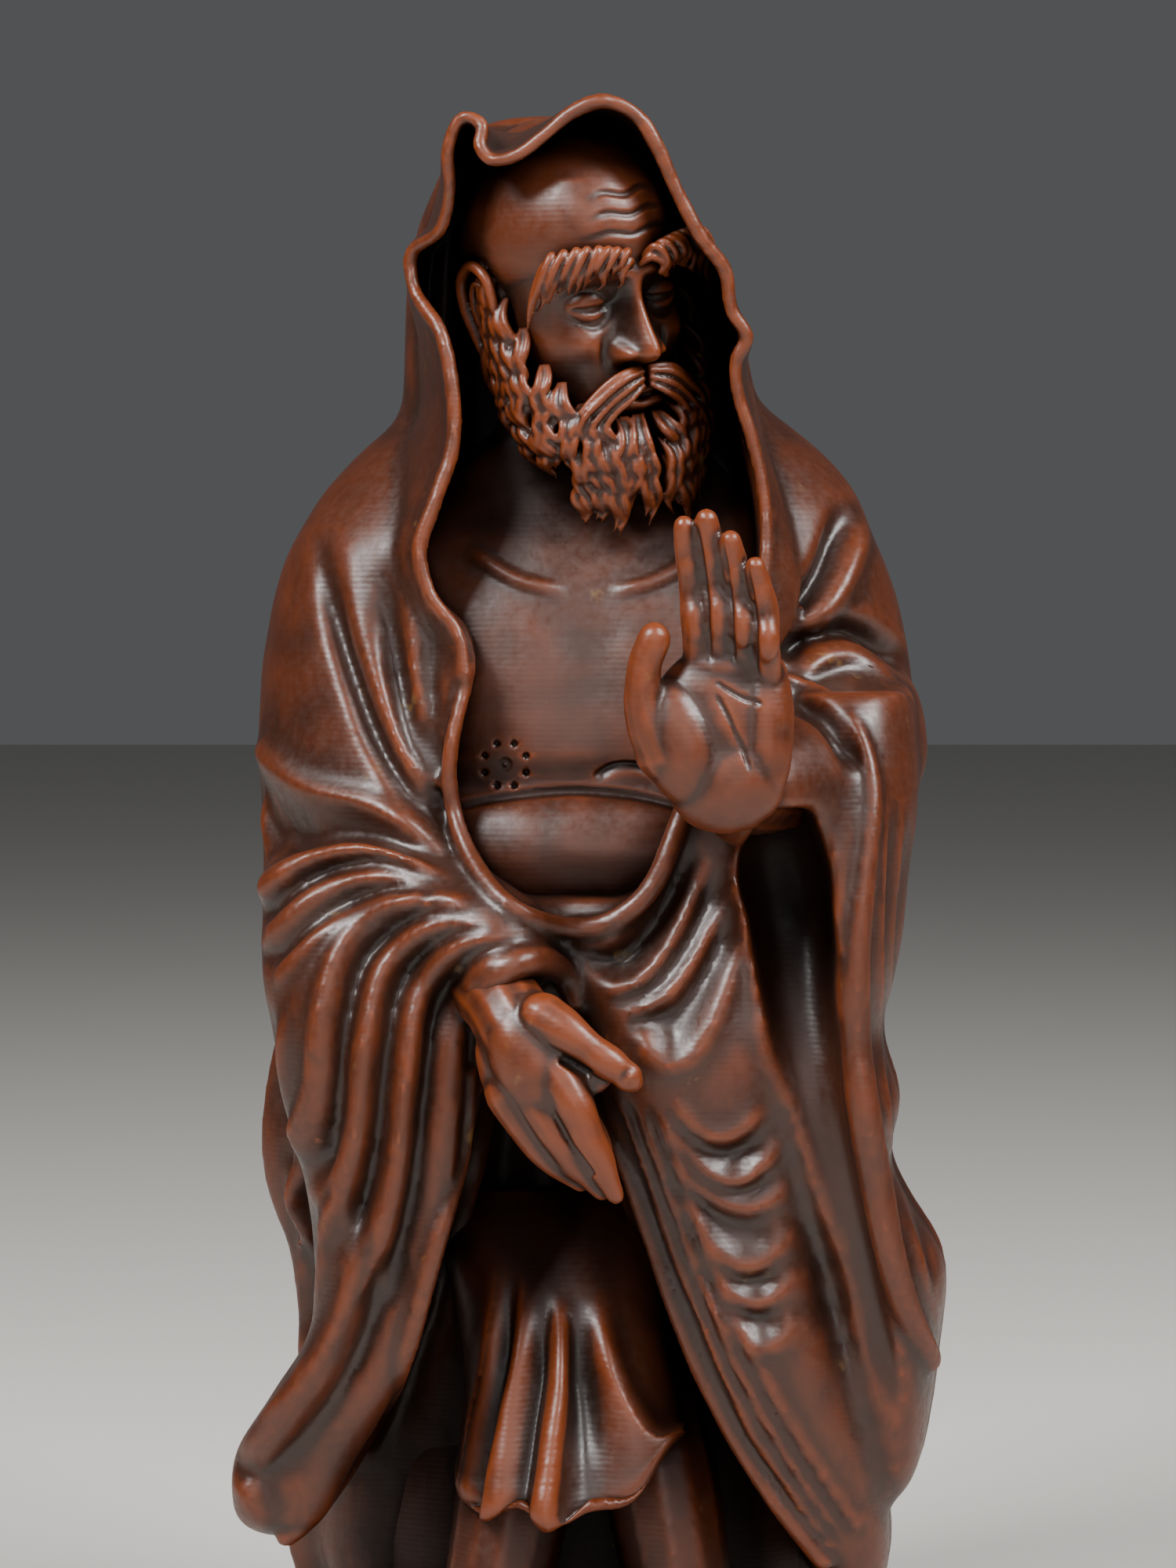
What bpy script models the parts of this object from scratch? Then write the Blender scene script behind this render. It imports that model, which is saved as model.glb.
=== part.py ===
"""A standing hooded monk with a raised hand, carved with its low rock base from one block of boxwood.

Front is -Y, up is +Z, and the origin is the middle of the flat underside. The figure keeps its pose and its
carving as shares of its own height: its numbers are millimetres on a figure that stands DESIGN_HEIGHT above
a base DESIGN_BASE thick, and UNIT turns them into metres. The base has sizes of its own.

It is modelled as a carver would rough it out: solid masses, the robe's opening and the mouth of a sleeve cut
into them, rolls of cloth laid on the surface, and then families of folds cut between pairs of guide lines.
"""

import math

import bmesh
import bpy
import numpy as np
from mathutils import Euler, Matrix, Vector
from mathutils.bvhtree import BVHTree

MM = 0.001

# The real sizes, in millimetres
FIGURE_HEIGHT = 202.0
BASE_LENGTH = 92.0
BASE_WIDTH = 74.0
BASE_THICKNESS = 11.0

# The measures that the figure's own numbers are written in
DESIGN_HEIGHT = 202.0
DESIGN_BASE = 11.0
UNIT = MM * FIGURE_HEIGHT / DESIGN_HEIGHT

# How finely it is worked
ROUGH_GRID = 1.3
FINE_GRID = 0.9
HEAD_GRID = 0.8
MOST_TRIANGLES = 9300

# Turn and place of the bowed head
HEAD_PLACE = (-1.0, -8.0, 190.0)
HEAD_PITCH = 12.0
HEAD_ROLL = -11.0
HEAD_YAW = 30.0

# The beard
LOCKS = 13
LOCK_ROWS = 4

RAISED_HAND_Y = -43.0
LOW_HAND_Y = -40.0

WOOD_COLOUR = (0.145, 0.042, 0.014, 1.0)
WOOD_ROUGHNESS = 0.38


def clear_scene():
    for old in list(bpy.data.objects):
        bpy.data.objects.remove(old)


# Tools of the carving


def smooth_path(points, count, key=None):
    """A smooth curve through the points, as count rows. key is the column that runs along it, if one does."""
    rows = np.array(points, float)
    if key is None:
        steps = np.linalg.norm(np.diff(rows[:, :3], axis=0), axis=1)
    else:
        steps = np.abs(np.diff(rows[:, key]))
    along = np.concatenate([[0.0], np.cumsum(np.maximum(steps, 1e-6))])
    slopes = np.gradient(rows, along, axis=0)
    at = np.linspace(0.0, along[-1], count)
    i = np.clip(np.searchsorted(along, at, side="right") - 1, 0, len(rows) - 2)
    span = (along[i + 1] - along[i])[:, None]
    t = ((at - along[i])[:, None]) / span
    start = (2 * t**3 - 3 * t**2 + 1) * rows[i] + (t**3 - 2 * t**2 + t) * span * slopes[i]
    end = (3 * t**2 - 2 * t**3) * rows[i + 1] + (t**3 - t**2) * span * slopes[i + 1]
    return start + end


def smooth_step(value):
    value = np.clip(value, 0.0, 1.0)
    return value * value * (3 - 2 * value)


def new_object(name, points, faces):
    mesh = bpy.data.meshes.new(name)
    mesh.from_pydata((np.array(points) * UNIT).tolist(), [], faces)
    made = bpy.data.objects.new(name, mesh)
    bpy.context.scene.collection.objects.link(made)
    return made


def loft(name, stations, around=72, rings=60, power=2.4):
    """A closed body through level sections. Each station is (z, left x, right x, front y, back y)."""
    rows = smooth_path(stations, rings, key=0)
    angle = np.arange(around) * 2 * math.pi / around
    c, s = np.cos(angle), np.sin(angle)
    wide = np.sign(c) * np.abs(c) ** (2 / power)
    deep = np.sign(s) * np.abs(s) ** (2 / power)
    points = []
    for z, left, right, front, back in rows:
        x = (left + right) / 2 + wide * (right - left) / 2
        y = (front + back) / 2 + deep * (back - front) / 2
        points += [(a, b, z) for a, b in zip(x, y)]
    faces = []
    for ring in range(rings - 1):
        low, high = ring * around, (ring + 1) * around
        for k in range(around):
            j = (k + 1) % around
            faces.append((low + k, low + j, high + j, high + k))
    faces.append(tuple(reversed(range(around))))
    faces.append(tuple(range((rings - 1) * around, rings * around)))
    made = new_object(name, points, faces)
    face_outwards(made)
    return made


def face_outwards(obj):
    made = bmesh.new()
    made.from_mesh(obj.data)
    bmesh.ops.recalc_face_normals(made, faces=made.faces)
    made.to_mesh(obj.data)
    made.free()


def blob(name, centre, radii, turn=(0, 0, 0)):
    """An ellipsoid. turn is in degrees about X, Y and Z."""
    bpy.ops.mesh.primitive_uv_sphere_add(segments=40, ring_count=24, radius=UNIT)
    made = bpy.context.object
    made.name = name
    spin = Euler([math.radians(a) for a in turn]).to_matrix().to_4x4()
    place = Matrix.Translation(Vector(centre) * UNIT)
    made.data.transform(place @ spin @ Matrix.Diagonal((*radii, 1)))
    return made


def round_ends(way, sizes):
    """Adds a rounded cap to both ends of a run."""
    first = (way[0] - way[1]) / np.linalg.norm(way[0] - way[1])
    last = (way[-1] - way[-2]) / np.linalg.norm(way[-1] - way[-2])
    turns = np.radians((25, 50, 70, 86))
    start = [way[0] + first * sizes[0] * math.sin(a) for a in turns[::-1]]
    stop = [way[-1] + last * sizes[-1] * math.sin(a) for a in turns]
    sizes = np.concatenate([sizes[0] * np.cos(turns[::-1]), sizes, sizes[-1] * np.cos(turns)])
    return np.array([*start, *way, *stop]), sizes


def tube(name, points, radii):
    """A round limb or roll through points, its radius eased from end to end."""
    count = max(8, 5 * len(points))
    way = smooth_path(points, count)
    sizes = smooth_path([(k, r) for k, r in enumerate(radii)], count)[:, 1]
    way, sizes = round_ends(way, np.maximum(sizes, 0.05))
    curve = bpy.data.curves.new(name, "CURVE")
    curve.dimensions = "3D"
    curve.bevel_depth = UNIT
    curve.bevel_resolution = 4
    curve.use_fill_caps = True
    line = curve.splines.new("POLY")
    line.points.add(len(way) - 1)
    for point, (x, y, z), r in zip(line.points, way, sizes):
        point.co = (x * UNIT, y * UNIT, z * UNIT, 1)
        point.radius = r
    holder = bpy.data.objects.new(name, curve)
    bpy.context.scene.collection.objects.link(holder)
    return as_mesh(name, holder)


def as_mesh(name, holder):
    """The object's evaluated shape as a welded mesh object of its own."""
    graph = bpy.context.evaluated_depsgraph_get()
    mesh = bpy.data.meshes.new_from_object(holder.evaluated_get(graph))
    mesh.transform(holder.matrix_world)
    bpy.data.objects.remove(holder)
    welded = bmesh.new()
    welded.from_mesh(mesh)
    bmesh.ops.remove_doubles(welded, verts=welded.verts, dist=0.01 * UNIT)
    bmesh.ops.recalc_face_normals(welded, faces=welded.faces)
    welded.to_mesh(mesh)
    welded.free()
    made = bpy.data.objects.new(name, mesh)
    bpy.context.scene.collection.objects.link(made)
    return made


def join(name, parts):
    for obj in bpy.context.selected_objects:
        obj.select_set(False)
    for obj in parts:
        obj.select_set(True)
    bpy.context.view_layer.objects.active = parts[0]
    if len(parts) > 1:
        bpy.ops.object.join()
    whole = bpy.context.view_layer.objects.active
    whole.name = name
    return whole


def fuse(name, parts, grid, relax=2):
    """The parts as one skin on an even grid, its creases softened relax times."""
    whole = join(name, parts)
    skin = whole.modifiers.new("skin", "REMESH")
    skin.mode = "VOXEL"
    skin.voxel_size = grid * UNIT
    if relax:
        soften = whole.modifiers.new("soften", "SMOOTH")
        soften.factor = 0.5
        soften.iterations = relax
    graph = bpy.context.evaluated_depsgraph_get()
    mesh = bpy.data.meshes.new_from_object(whole.evaluated_get(graph))
    bpy.data.objects.remove(whole)
    made = bpy.data.objects.new(name, mesh)
    bpy.context.scene.collection.objects.link(made)
    return made


def prism(name, outline, front, back):
    """A flat outline in the front view, (x, z), drawn out from y front to y back."""
    rows = smooth_path([*outline, outline[0]], 6 * len(outline))[:-1]
    curve = bpy.data.curves.new(name, "CURVE")
    curve.dimensions = "2D"
    curve.fill_mode = "BOTH"
    curve.extrude = (back - front) / 2 * UNIT
    line = curve.splines.new("POLY")
    line.use_cyclic_u = True
    line.points.add(len(rows) - 1)
    for point, (x, z) in zip(line.points, rows):
        point.co = (x * UNIT, z * UNIT, 0, 1)
    holder = bpy.data.objects.new(name, curve)
    bpy.context.scene.collection.objects.link(holder)
    holder.rotation_euler = (math.radians(90), 0, 0)
    holder.location = (0, (front + back) / 2 * UNIT, 0)
    bpy.context.view_layer.update()
    return as_mesh(name, holder)


def cut_away(obj, cutter):
    """obj less cutter, as a new mesh."""
    cut = obj.modifiers.new("cut", "BOOLEAN")
    cut.object = cutter
    cut.operation = "DIFFERENCE"
    made = as_mesh(obj.name, obj)
    bpy.data.objects.remove(cutter)
    return made


def skin_tree(obj):
    return BVHTree.FromObject(obj, bpy.context.evaluated_depsgraph_get())


# A view says which axes run across, up and into the picture, and from which side it is seen.
AXES = "xyz"
VIEWS = {"front": "xzy-", "back": "xzy+", "left": "yzx-", "right": "yzx+"}
FAR_OFF = 300.0


def view_axes(view):
    across, up, depth, side = VIEWS[view]
    return AXES.index(across), AXES.index(up), AXES.index(depth), int(side + "1")


def lay(tree, path, count, lift=0.0, view="front"):
    """Points of a path in a view, (across, z), laid on the surface and lifted off it by lift."""
    a, b, c, sign = view_axes(view)
    points = []
    for across, up in smooth_path(path, count):
        start = Vector((0, 0, 0))
        start[a], start[b], start[c] = across * UNIT, up * UNIT, sign * FAR_OFF * UNIT
        way = Vector((0, 0, 0))
        way[c] = -sign
        hit = tree.ray_cast(start, way)[0]
        if hit is None:
            continue
        point = np.array(hit) / UNIT
        point[c] += sign * lift
        points.append(tuple(point))
    return points


def roll(name, tree, path, radii, lift=0.0, view="front"):
    """A roll of cloth laid on the surface."""
    points = np.array(lay(tree, path, 4 * len(path), lift, view))
    for _ in range(3):
        points[1:-1] = (points[:-2] + 2 * points[1:-1] + points[2:]) / 4
    return tube(name, points, radii)


def outside(path, distance):
    """The path in a view, moved to its left by distance."""
    rows = np.array(path, float)
    way = np.gradient(rows, axis=0)
    way /= np.linalg.norm(way, axis=1)[:, None]
    return rows + distance * np.stack([way[:, 1], -way[:, 0]], axis=1)


def point_on(path, share):
    return smooth_path(path, 101)[int(round(share * 100))]


def between(first, last, count):
    """count paths spread evenly from one guide to another, which have as many points."""
    a, b = np.array(first, float), np.array(last, float)
    return [a + (b - a) * k / (count - 1) for k in range(count)]


def swags(left, right, count, sag, low=0.42):
    """count folds that hang from one line to another, each lowest where low says along it."""
    paths = []
    for k in range(count):
        a, b = point_on(left, k / (count - 1)), point_on(right, k / (count - 1))
        drop = sag * (1 + 0.25 * math.sin(2.4 * k))
        path = []
        for share in np.linspace(0, 1, 9):
            bent = share ** (math.log(0.5) / math.log(low))
            path.append(a + (b - a) * share - (0, 4 * drop * bent * (1 - bent)))
        paths.append(path)
    return paths


def side_of(points, line):
    """Signed distance of each point from a line, below 0 on its left, and how far along it that is."""
    starts, ends = line[:-1], line[1:]
    way = ends - starts
    length = np.linalg.norm(way, axis=1)
    gone = np.concatenate([[0.0], np.cumsum(length)])
    best = np.full(len(points), 1e9)
    side = np.zeros(len(points))
    share = np.zeros(len(points))
    for k in range(len(starts)):
        off = points - starts[k]
        u = np.clip(off @ way[k] / max(length[k] ** 2, 1e-12), 0, 1)
        distance = np.linalg.norm(off - u[:, None] * way[k], axis=1)
        turn = way[k][0] * off[:, 1] - way[k][1] * off[:, 0]
        better = distance < best
        best[better] = distance[better]
        side[better] = np.where(turn > 0, -1, 1)[better] * distance[better]
        share[better] = ((gone[k] + u * length[k]) / gone[-1])[better]
    return side, share


def read_vectors(mesh, what):
    values = np.empty(len(mesh.vertices) * 3, np.float32)
    mesh.vertices.foreach_get(what, values)
    return values.reshape(-1, 3).astype(float)


def pleat(obj, view, crests, depth, lean=0.5, scoop=0.5, fade=(0.15, 0.15), skirtage=3.0, reach=None):
    """Cuts a valley between each crest and the next, and raises the crests a little.

    lean is where the valley lies from one crest to the next, scoop is 1 for a wide hollow between sharp
    crests and 0 for a soft wave, fade is the share of a crest's length over which it dies at each end,
    skirtage is how far the outer crests spread, and reach limits it to a range along the view's depth.
    """
    mesh = obj.data
    a, b, c, sign = view_axes(view)
    co = read_vectors(mesh, "co") / UNIT
    normal = read_vectors(mesh, "normal")
    lines = [smooth_path(path, 6 * len(path)) for path in crests]
    low = np.min([line.min(0) for line in lines], axis=0) - skirtage
    high = np.max([line.max(0) for line in lines], axis=0) + skirtage
    flat = co[:, (a, b)]
    inside = np.all((flat > low) & (flat < high), axis=1) & (normal[:, c] * sign > 0.02)
    if reach:
        inside &= (co[:, c] > reach[0]) & (co[:, c] < reach[1])
    chosen = np.nonzero(inside)[0]
    measured = [side_of(flat[chosen], line) for line in lines]
    sides = np.array([m[0] for m in measured])
    shares = np.array([m[1] for m in measured])
    if np.mean(side_of(lines[1], lines[0])[0]) < 0:
        sides = -sides
    shift = np.zeros(len(chosen))
    for k in range(len(lines) - 1):
        here = (sides[k] >= 0) & (sides[k + 1] < 0)
        before, after = sides[k][here], -sides[k + 1][here]
        room = before + after
        phase = before / np.maximum(room, 1e-6)
        q = np.where(phase < lean, phase / lean, (1 - phase) / (1 - lean))
        wave = (1 - scoop) * (1 - np.cos(math.pi * q)) / 2 + scoop * np.sin(math.pi / 2 * q)
        ends = end_fade((shares[k][here] + shares[k + 1][here]) / 2, fade)
        uneven = depth * (1 + 0.22 * math.sin(2.3 * k + 1))
        shift[here] = np.minimum(uneven, 0.6 * room) * (0.28 - wave) * ends
    for outer, out in ((0, sides[0] < 0), (-1, sides[-1] >= 0)):
        away = np.abs(sides[outer][out]) / skirtage
        shift[out] = 0.28 * depth * (1 - smooth_step(away)) * end_fade(shares[outer][out], fade)
    facing = np.clip((normal[chosen, c] * sign - 0.02) / 0.35, 0, 1)
    move(mesh, co, chosen, normal[chosen] * (shift * facing)[:, None])


def soften(obj, times):
    """Eases the fine steps that the grid leaves on sharp crests."""
    made = bmesh.new()
    made.from_mesh(obj.data)
    for _ in range(times):
        bmesh.ops.smooth_vert(made, verts=made.verts, factor=0.5, use_axis_x=True, use_axis_y=True,
                              use_axis_z=True)
    made.to_mesh(obj.data)
    made.free()


def end_fade(share, fade):
    return smooth_step(share / max(fade[0], 1e-6)) * smooth_step((1 - share) / max(fade[1], 1e-6))


def groove(obj, view, path, height, left, right=None, fade=(0.15, 0.15), reach=None):
    """Raises or, with a height below 0, cuts one line, as wide to its left and right as said."""
    right = left if right is None else right
    mesh = obj.data
    a, b, c, sign = view_axes(view)
    co = read_vectors(mesh, "co") / UNIT
    normal = read_vectors(mesh, "normal")
    line = smooth_path(path, 6 * len(path))
    edge = max(left, right)
    flat = co[:, (a, b)]
    inside = np.all((flat > line.min(0) - edge) & (flat < line.max(0) + edge), axis=1)
    inside &= normal[:, c] * sign > 0.02
    if reach:
        inside &= (co[:, c] > reach[0]) & (co[:, c] < reach[1])
    chosen = np.nonzero(inside)[0]
    side, share = side_of(flat[chosen], line)
    width = np.where(side < 0, left, right)
    bump = 0.5 + 0.5 * np.cos(math.pi * np.clip(np.abs(side) / width, 0, 1))
    facing = np.clip((normal[chosen, c] * sign - 0.02) / 0.35, 0, 1)
    move(mesh, co, chosen, normal[chosen] * (height * bump * end_fade(share, fade) * facing)[:, None])


def move(mesh, co, chosen, shift):
    co[chosen] += shift
    mesh.vertices.foreach_set("co", (co * UNIT).astype(np.float32).ravel())
    mesh.update()


# The robe

# The edge of the robe round the head, the chest and the belly, from the top of the hood down the near side
OPENING = [
    (-14, 204), (-16.5, 198), (-17.5, 189), (-17, 179), (-16.8, 171), (-19.6, 161.5), (-21.4, 155.5),
    (-19.4, 149.6), (-15.4, 146), (-14.2, 142), (-15.8, 135), (-17, 128), (-16, 121.5), (-12.6, 115),
    (-6.5, 110.4), (1, 109), (6.6, 112.6), (10.5, 121), (16, 137), (22, 155),
    (20.5, 167), (18, 176), (17.6, 184), (14, 191), (10.6, 199), (6, 206.5), (0, 208.6), (-6, 206),
]
LAPEL = slice(6, 19)
# The hood's edge in front, and the line far back on the hood from which the cloth runs to it
HOOD_EDGE = [
    (-15.6, -23.4, 140), (-16.4, -22.8, 145), (-20, -21.6, 150), (-21.4, -21, 155.5), (-19.4, -20.5, 162),
    (-17.2, -19.5, 169), (-17.2, -19, 176), (-18.6, -18, 183), (-22.6, -13.5, 190.4), (-22.8, -13.5, 193.2),
    (-18.6, -19, 196.6), (-17.4, -21.5, 201.5), (-17.6, -23, 206.6), (-15.6, -24, 210.2),
    (-13.2, -24.5, 209.2),
    (-13.6, -25, 206.4), (-12.2, -25.5, 204.6), (-9.6, -25.7, 204.9), (-5.6, -25.7, 207.6),
    (-2, -25.5, 210.6),
    (2, -25.5, 212), (6, -25, 210.4), (8.6, -24.5, 206.6), (11, -23.5, 201.4), (14.4, -22.5, 195),
    (17.4, -21, 191), (18.2, -20.5, 186), (20.2, -20, 182.8), (18.8, -19.5, 180), (19, -19, 176),
    (20.6, -18.5, 171), (22.2, -18.5, 164), (22.6, -19.5, 156), (21.4, -21.2, 148), (18.6, -23.2, 139),
]
HOOD_LINE = [
    (-17.4, -23.2, 140), (-21, -20.4, 145), (-27.6, -16.4, 150), (-28.4, -14.4, 155.5), (-26, -10, 162),
    (-23.6, -3, 169), (-21.8, 4, 175), (-21.4, 4, 182), (-20.8, 4, 189), (-20.4, 4, 193),
    (-19.7, 4, 197.4), (-18.7, 4, 201), (-17, 4, 205), (-15.1, 4, 207.6), (-13.4, 4, 209),
    (-11.8, 4, 209.8), (-9.9, 4, 210.4), (-7.6, 4, 210.8), (-5.3, 4, 210.8), (-2.9, 4, 210.4),
    (-0.4, 4, 209.8), (2.3, 4, 208.6), (5.7, 4, 206.4), (9, 4, 202.6), (12.2, 4, 197.8),
    (14.9, 4, 192.6), (16.6, 4, 187.6), (18, 4, 183), (18.9, 4, 179), (20.6, -1, 175),
    (21.4, -3, 170), (24, -9, 163), (26.4, -14, 156), (26.4, -16.4, 148), (20.4, -23, 139),
]
HOOD_WALL = 2.2


def sheet(name, edge, line, wall, bulge):
    """A thin wall of cloth between two lines that have as many points, bulged outwards between them."""
    rows = smooth_path([(*a, *b) for a, b in zip(edge, line)], 110)
    middle = rows.reshape(-1, 2, 3).mean(axis=(0, 1))
    steps = np.linspace(0, 1, 10)
    points = []
    for row in rows:
        first, last = row[:3], row[3:]
        out = (first + last) / 2 - middle
        out[1] = 0
        out /= np.linalg.norm(out)
        for t in steps:
            points.append((first + (last - first) * t + out * bulge * math.sin(math.pi * t)) * UNIT)
    faces = []
    for i in range(len(rows) - 1):
        for j in range(len(steps) - 1):
            k = i * len(steps) + j
            faces.append((k, k + 1, k + len(steps) + 1, k + len(steps)))
    mesh = bpy.data.meshes.new(name)
    mesh.from_pydata(points, [], faces)
    made = bpy.data.objects.new(name, mesh)
    bpy.context.scene.collection.objects.link(made)
    thick = made.modifiers.new("thick", "SOLIDIFY")
    thick.thickness = wall * UNIT
    thick.offset = 0
    return as_mesh(name, made)


def cloak_and_hood():
    cloak = loft("cloak", [
        (13, -37, 36, -6, 26), (22, -40.5, 37.5, -6, 27), (32, -39.5, 38, -6.5, 27.5),
        (40, -39, 40, -7, 28),
        (54, -38.8, 41, -8, 30), (62, -40, 41.5, -8, 30), (68, -42.4, 41, -9, 30.5),
        (76, -43.8, 39.5, -11, 31),
        (86, -42.6, 39, -14, 31), (96, -40.6, 38.4, -24, 31), (104, -41.6, 38.6, -27, 31),
        (116, -43, 40, -28.5, 31), (130, -43.6, 43, -25.5, 30), (145, -42.5, 42, -22, 28),
        (158, -38.5, 37.8, -19, 25), (167, -32, 33, -12, 22), (173, -25, 26, -6, 19),
        (178, -16, 18, -2, 14),
    ])
    hood = loft("hood", [
        (150, -25, 24, -8, 22), (160, -25.5, 24.4, -8, 23), (170, -25, 23, -7, 23),
        (183, -24.4, 21, -6, 23),
        (190, -24.2, 19, -5, 22.5), (197, -23, 15.4, -5, 21), (203, -20.8, 12, -6, 18),
        (208, -18, 8.4, -6, 14),
        (211, -15.5, 4.5, -6, 9), (212.4, -11, 1, -5, 4),
    ], power=3.0)
    return [cloak, hood]


def sleeves_and_drapes():
    near_sleeve = loft("near_sleeve", [
        (122, -41, -22, -18, 4), (112, -42, -14, -28, 2), (100, -41.5, -12.5, -33, 0),
        (85, -38.5, -14, -34, -4), (70, -35.5, -17.5, -33, -6), (55, -36, -22, -32, -8),
        (46, -41.5, -26, -31, -8), (40, -45.4, -29.5, -29, -8), (34, -46, -33, -26, -10),
        (30, -44.4, -36, -22, -13), (28.5, -41.4, -38, -19, -15),
    ], power=2.6)
    far_sleeve = loft("far_sleeve", [
        (138, 24, 42, -28, 6), (125, 18, 42.5, -35, 8), (112, 16.4, 40.8, -37, 8),
        (104, 18.6, 40, -36.5, 8),
        (94, 20.6, 37.8, -36, 8), (84, 24, 40.2, -35.5, 8), (79, 25.6, 38.8, -35, 8),
        (72, 27.6, 41.4, -34, 8),
        (65, 29.4, 46, -32, 8), (54, 31.6, 45.8, -30, 8), (44, 34, 44.2, -28, 8), (37, 36.5, 42.6, -25, 6),
        (34.4, 38, 41, -22, 2),
    ])
    drape = loft("drape", [
        (112, -10, 22, -28, 0), (104, -7, 24, -30, 0), (96, -2, 26, -31.5, 0), (84, 2, 27, -32, 0),
        (72, 6.5, 29, -31, 0), (60, 10.5, 31, -31, 0), (48, 15.5, 35, -30, 0), (36, 22, 38, -28, 0),
        (26, 28, 39, -25, 0), (21, 31, 38, -22, 0),
    ], power=3.2)
    near_arm = tube("near_arm", [(-32, -2, 130), (-31.5, -8, 119), (-23, -20, 110), (-12, -29, 106)],
                    [10, 11.5, 12, 8])
    far_arm = tube("far_arm", [(31, 0, 139), (33, -10, 131), (28, -25, 127), (21, -35, 126)],
                   [10, 11.5, 11, 8])
    skirt = loft("skirt", [
        (38, -12, 9, -21, 8), (33, -17, 12.8, -29.4, 12), (34.4, -17.4, 13.2, -29.4, 12),
        (38, -17, 13.2, -28, 12),
        (46, -16.4, 13, -24, 12), (56, -17.4, 12.6, -18.4, 12), (64, -20, 12, -13.4, 12),
        (74, -23, 12, -9.6, 12), (86, -24, 14, -7, 12), (98, -24, 16, -6, 12),
    ])
    return [near_sleeve, far_sleeve, drape, near_arm, far_arm, skirt]


def sleeve_mouth():
    """The deep slot that a hanging sleeve opens towards the front."""
    return loft("sleeve_mouth", [
        (124, 22, 27.6, -46, -30), (118, 18.8, 29.6, -46, -24), (104, 20.8, 30.6, -46, -22),
        (90, 23, 32, -46, -22), (78, 26.8, 34, -46, -23), (66, 31, 36.8, -44, -24),
        (57, 34.4, 38.2, -42, -25),
        (51, 36.4, 38.4, -40, -28),
    ], power=3.0)


def torso():
    return loft("torso", [
        (98, -12, 14, -13, 6), (104, -16, 18, -18, 8), (109, -20, 21, -21.4, 8), (114, -23, 23, -23, 8),
        (119.5, -24, 24, -22.4, 8), (123.2, -24, 24, -19, 8), (125, -24, 24, -18.4, 8),
        (130, -24, 24, -18.8, 8),
        (138, -25, 25, -17.8, 8), (148, -26, 25, -15, 8), (156, -25, 24, -11.4, 8), (164, -20, 20, -7.5, 6),
        (175, -8, 9, -6, 6),
    ], power=2.8)


# Guide lines of the folds, in the front view
SHOULDER = ([(-35.5, 157.8), (-32.4, 145), (-27.4, 131.6), (-18.6, 118)],
            [(-21.4, 158), (-21, 145), (-20.4, 133), (-16.6, 116)])
ELBOW = ([(-43.6, 130.6), (-36, 125), (-28, 123), (-19.6, 118.4)],
         [(-43.6, 111), (-36, 116.6), (-27, 118.2), (-17, 114.4)])
BELOW_ELBOW = ([(-43.6, 111), (-36, 116.6), (-27, 118.2), (-17, 114.4)],
               [(-40, 101), (-32.4, 108.4), (-24.9, 111.6), (-14.6, 110.8)])
SLEEVE = ([(-14.2, 110.9), (-22, 111.8), (-29.6, 107.6), (-33.2, 98.2), (-34.7, 87), (-38.5, 78)],
          [(-7.6, 106.6), (-12.2, 105), (-15.8, 99), (-17.6, 86), (-19.2, 72), (-22.6, 58)])
DROP = ([(-28.4, 70), (-31.4, 58), (-37.4, 49), (-46, 42.4)],
        [(-19, 70), (-24, 51.4), (-31, 36.4), (-39.6, 29)])
OUTER_DROP = ([(-40, 74), (-39, 62), (-38.4, 52)], [(-33, 76), (-34, 63), (-38, 51)])
BACK_LOOP = ([(-45, 99), (-45, 84), (-43.5, 69)], [(-38.5, 99), (-38.6, 86), (-37.5, 73)])
UPPER_SWAGS = ([(-5, 107), (0.2, 104.2), (3.2, 99.6), (6.8, 93.4)],
               [(12, 118), (15, 113), (17.4, 107), (19, 100)])
LOWER_SWAGS = ([(9, 87), (10.4, 79), (12.6, 70), (16.4, 60)],
               [(22.6, 88), (24.6, 80), (26.6, 70), (29, 58)])
BAND = ([(0.6, 88), (6.2, 74), (12, 57.3), (20, 40.5), (30, 27)],
        [(8.6, 86), (14.4, 69), (20.4, 54.6), (27.4, 42), (34.4, 31)])
CUFF = [(-14.4, 88), (-14.4, 95), (-12.2, 101.6), (-7.4, 105), (-3, 102.8), (-1.6, 99.4)]
NEAR_SLEEVE_EDGE = [(-15.2, 90), (-15.8, 80), (-18.8, 69.8), (-24, 51.4), (-31, 36.4), (-38.6, 29.6)]
FAR_CREASE = [(24.6, 142), (29.8, 145.2), (34.8, 145.4), (38.9, 143.2), (43, 139)]
FAR_CUFF = [(24.6, 139.6), (30.2, 138), (33.8, 133.7), (35.8, 128.7), (36.4, 122), (36, 114)]
FAR_CUFF_GAP = [(24.6, 137.6), (29, 136), (32, 132.4), (34, 127.6)]
FAR_VALLEY = [(33.2, 163), (31.8, 156.4), (28.8, 150.8), (24.8, 146.8)]
FAR_RIM = [(33, 120), (33, 104), (33.8, 90), (36.2, 76), (39.4, 62), (43.4, 53)]
FAR_SIDE = ([(37.4, 128), (36.8, 104), (38.6, 80), (44, 60)], [(42, 122), (40, 102), (43, 82), (47.4, 66)])


SKIRT_NEAR = [[(-8.6, 66), (-11.2, 53.5), (-13.2, 46.4), (-17, 33)], [(-6.4, 63), (-8, 50), (-9.6, 42),
    (-12, 32)],
              [(-2.4, 62), (-2, 50), (-3.4, 42), (-4, 32)]]
SKIRT_FAR = [[(-1, 62), (-0.6, 52), (-1, 42), (-1, 32)], [(2, 62), (3.8, 51.7), (7.6, 43), (11.6, 36)]]


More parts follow.
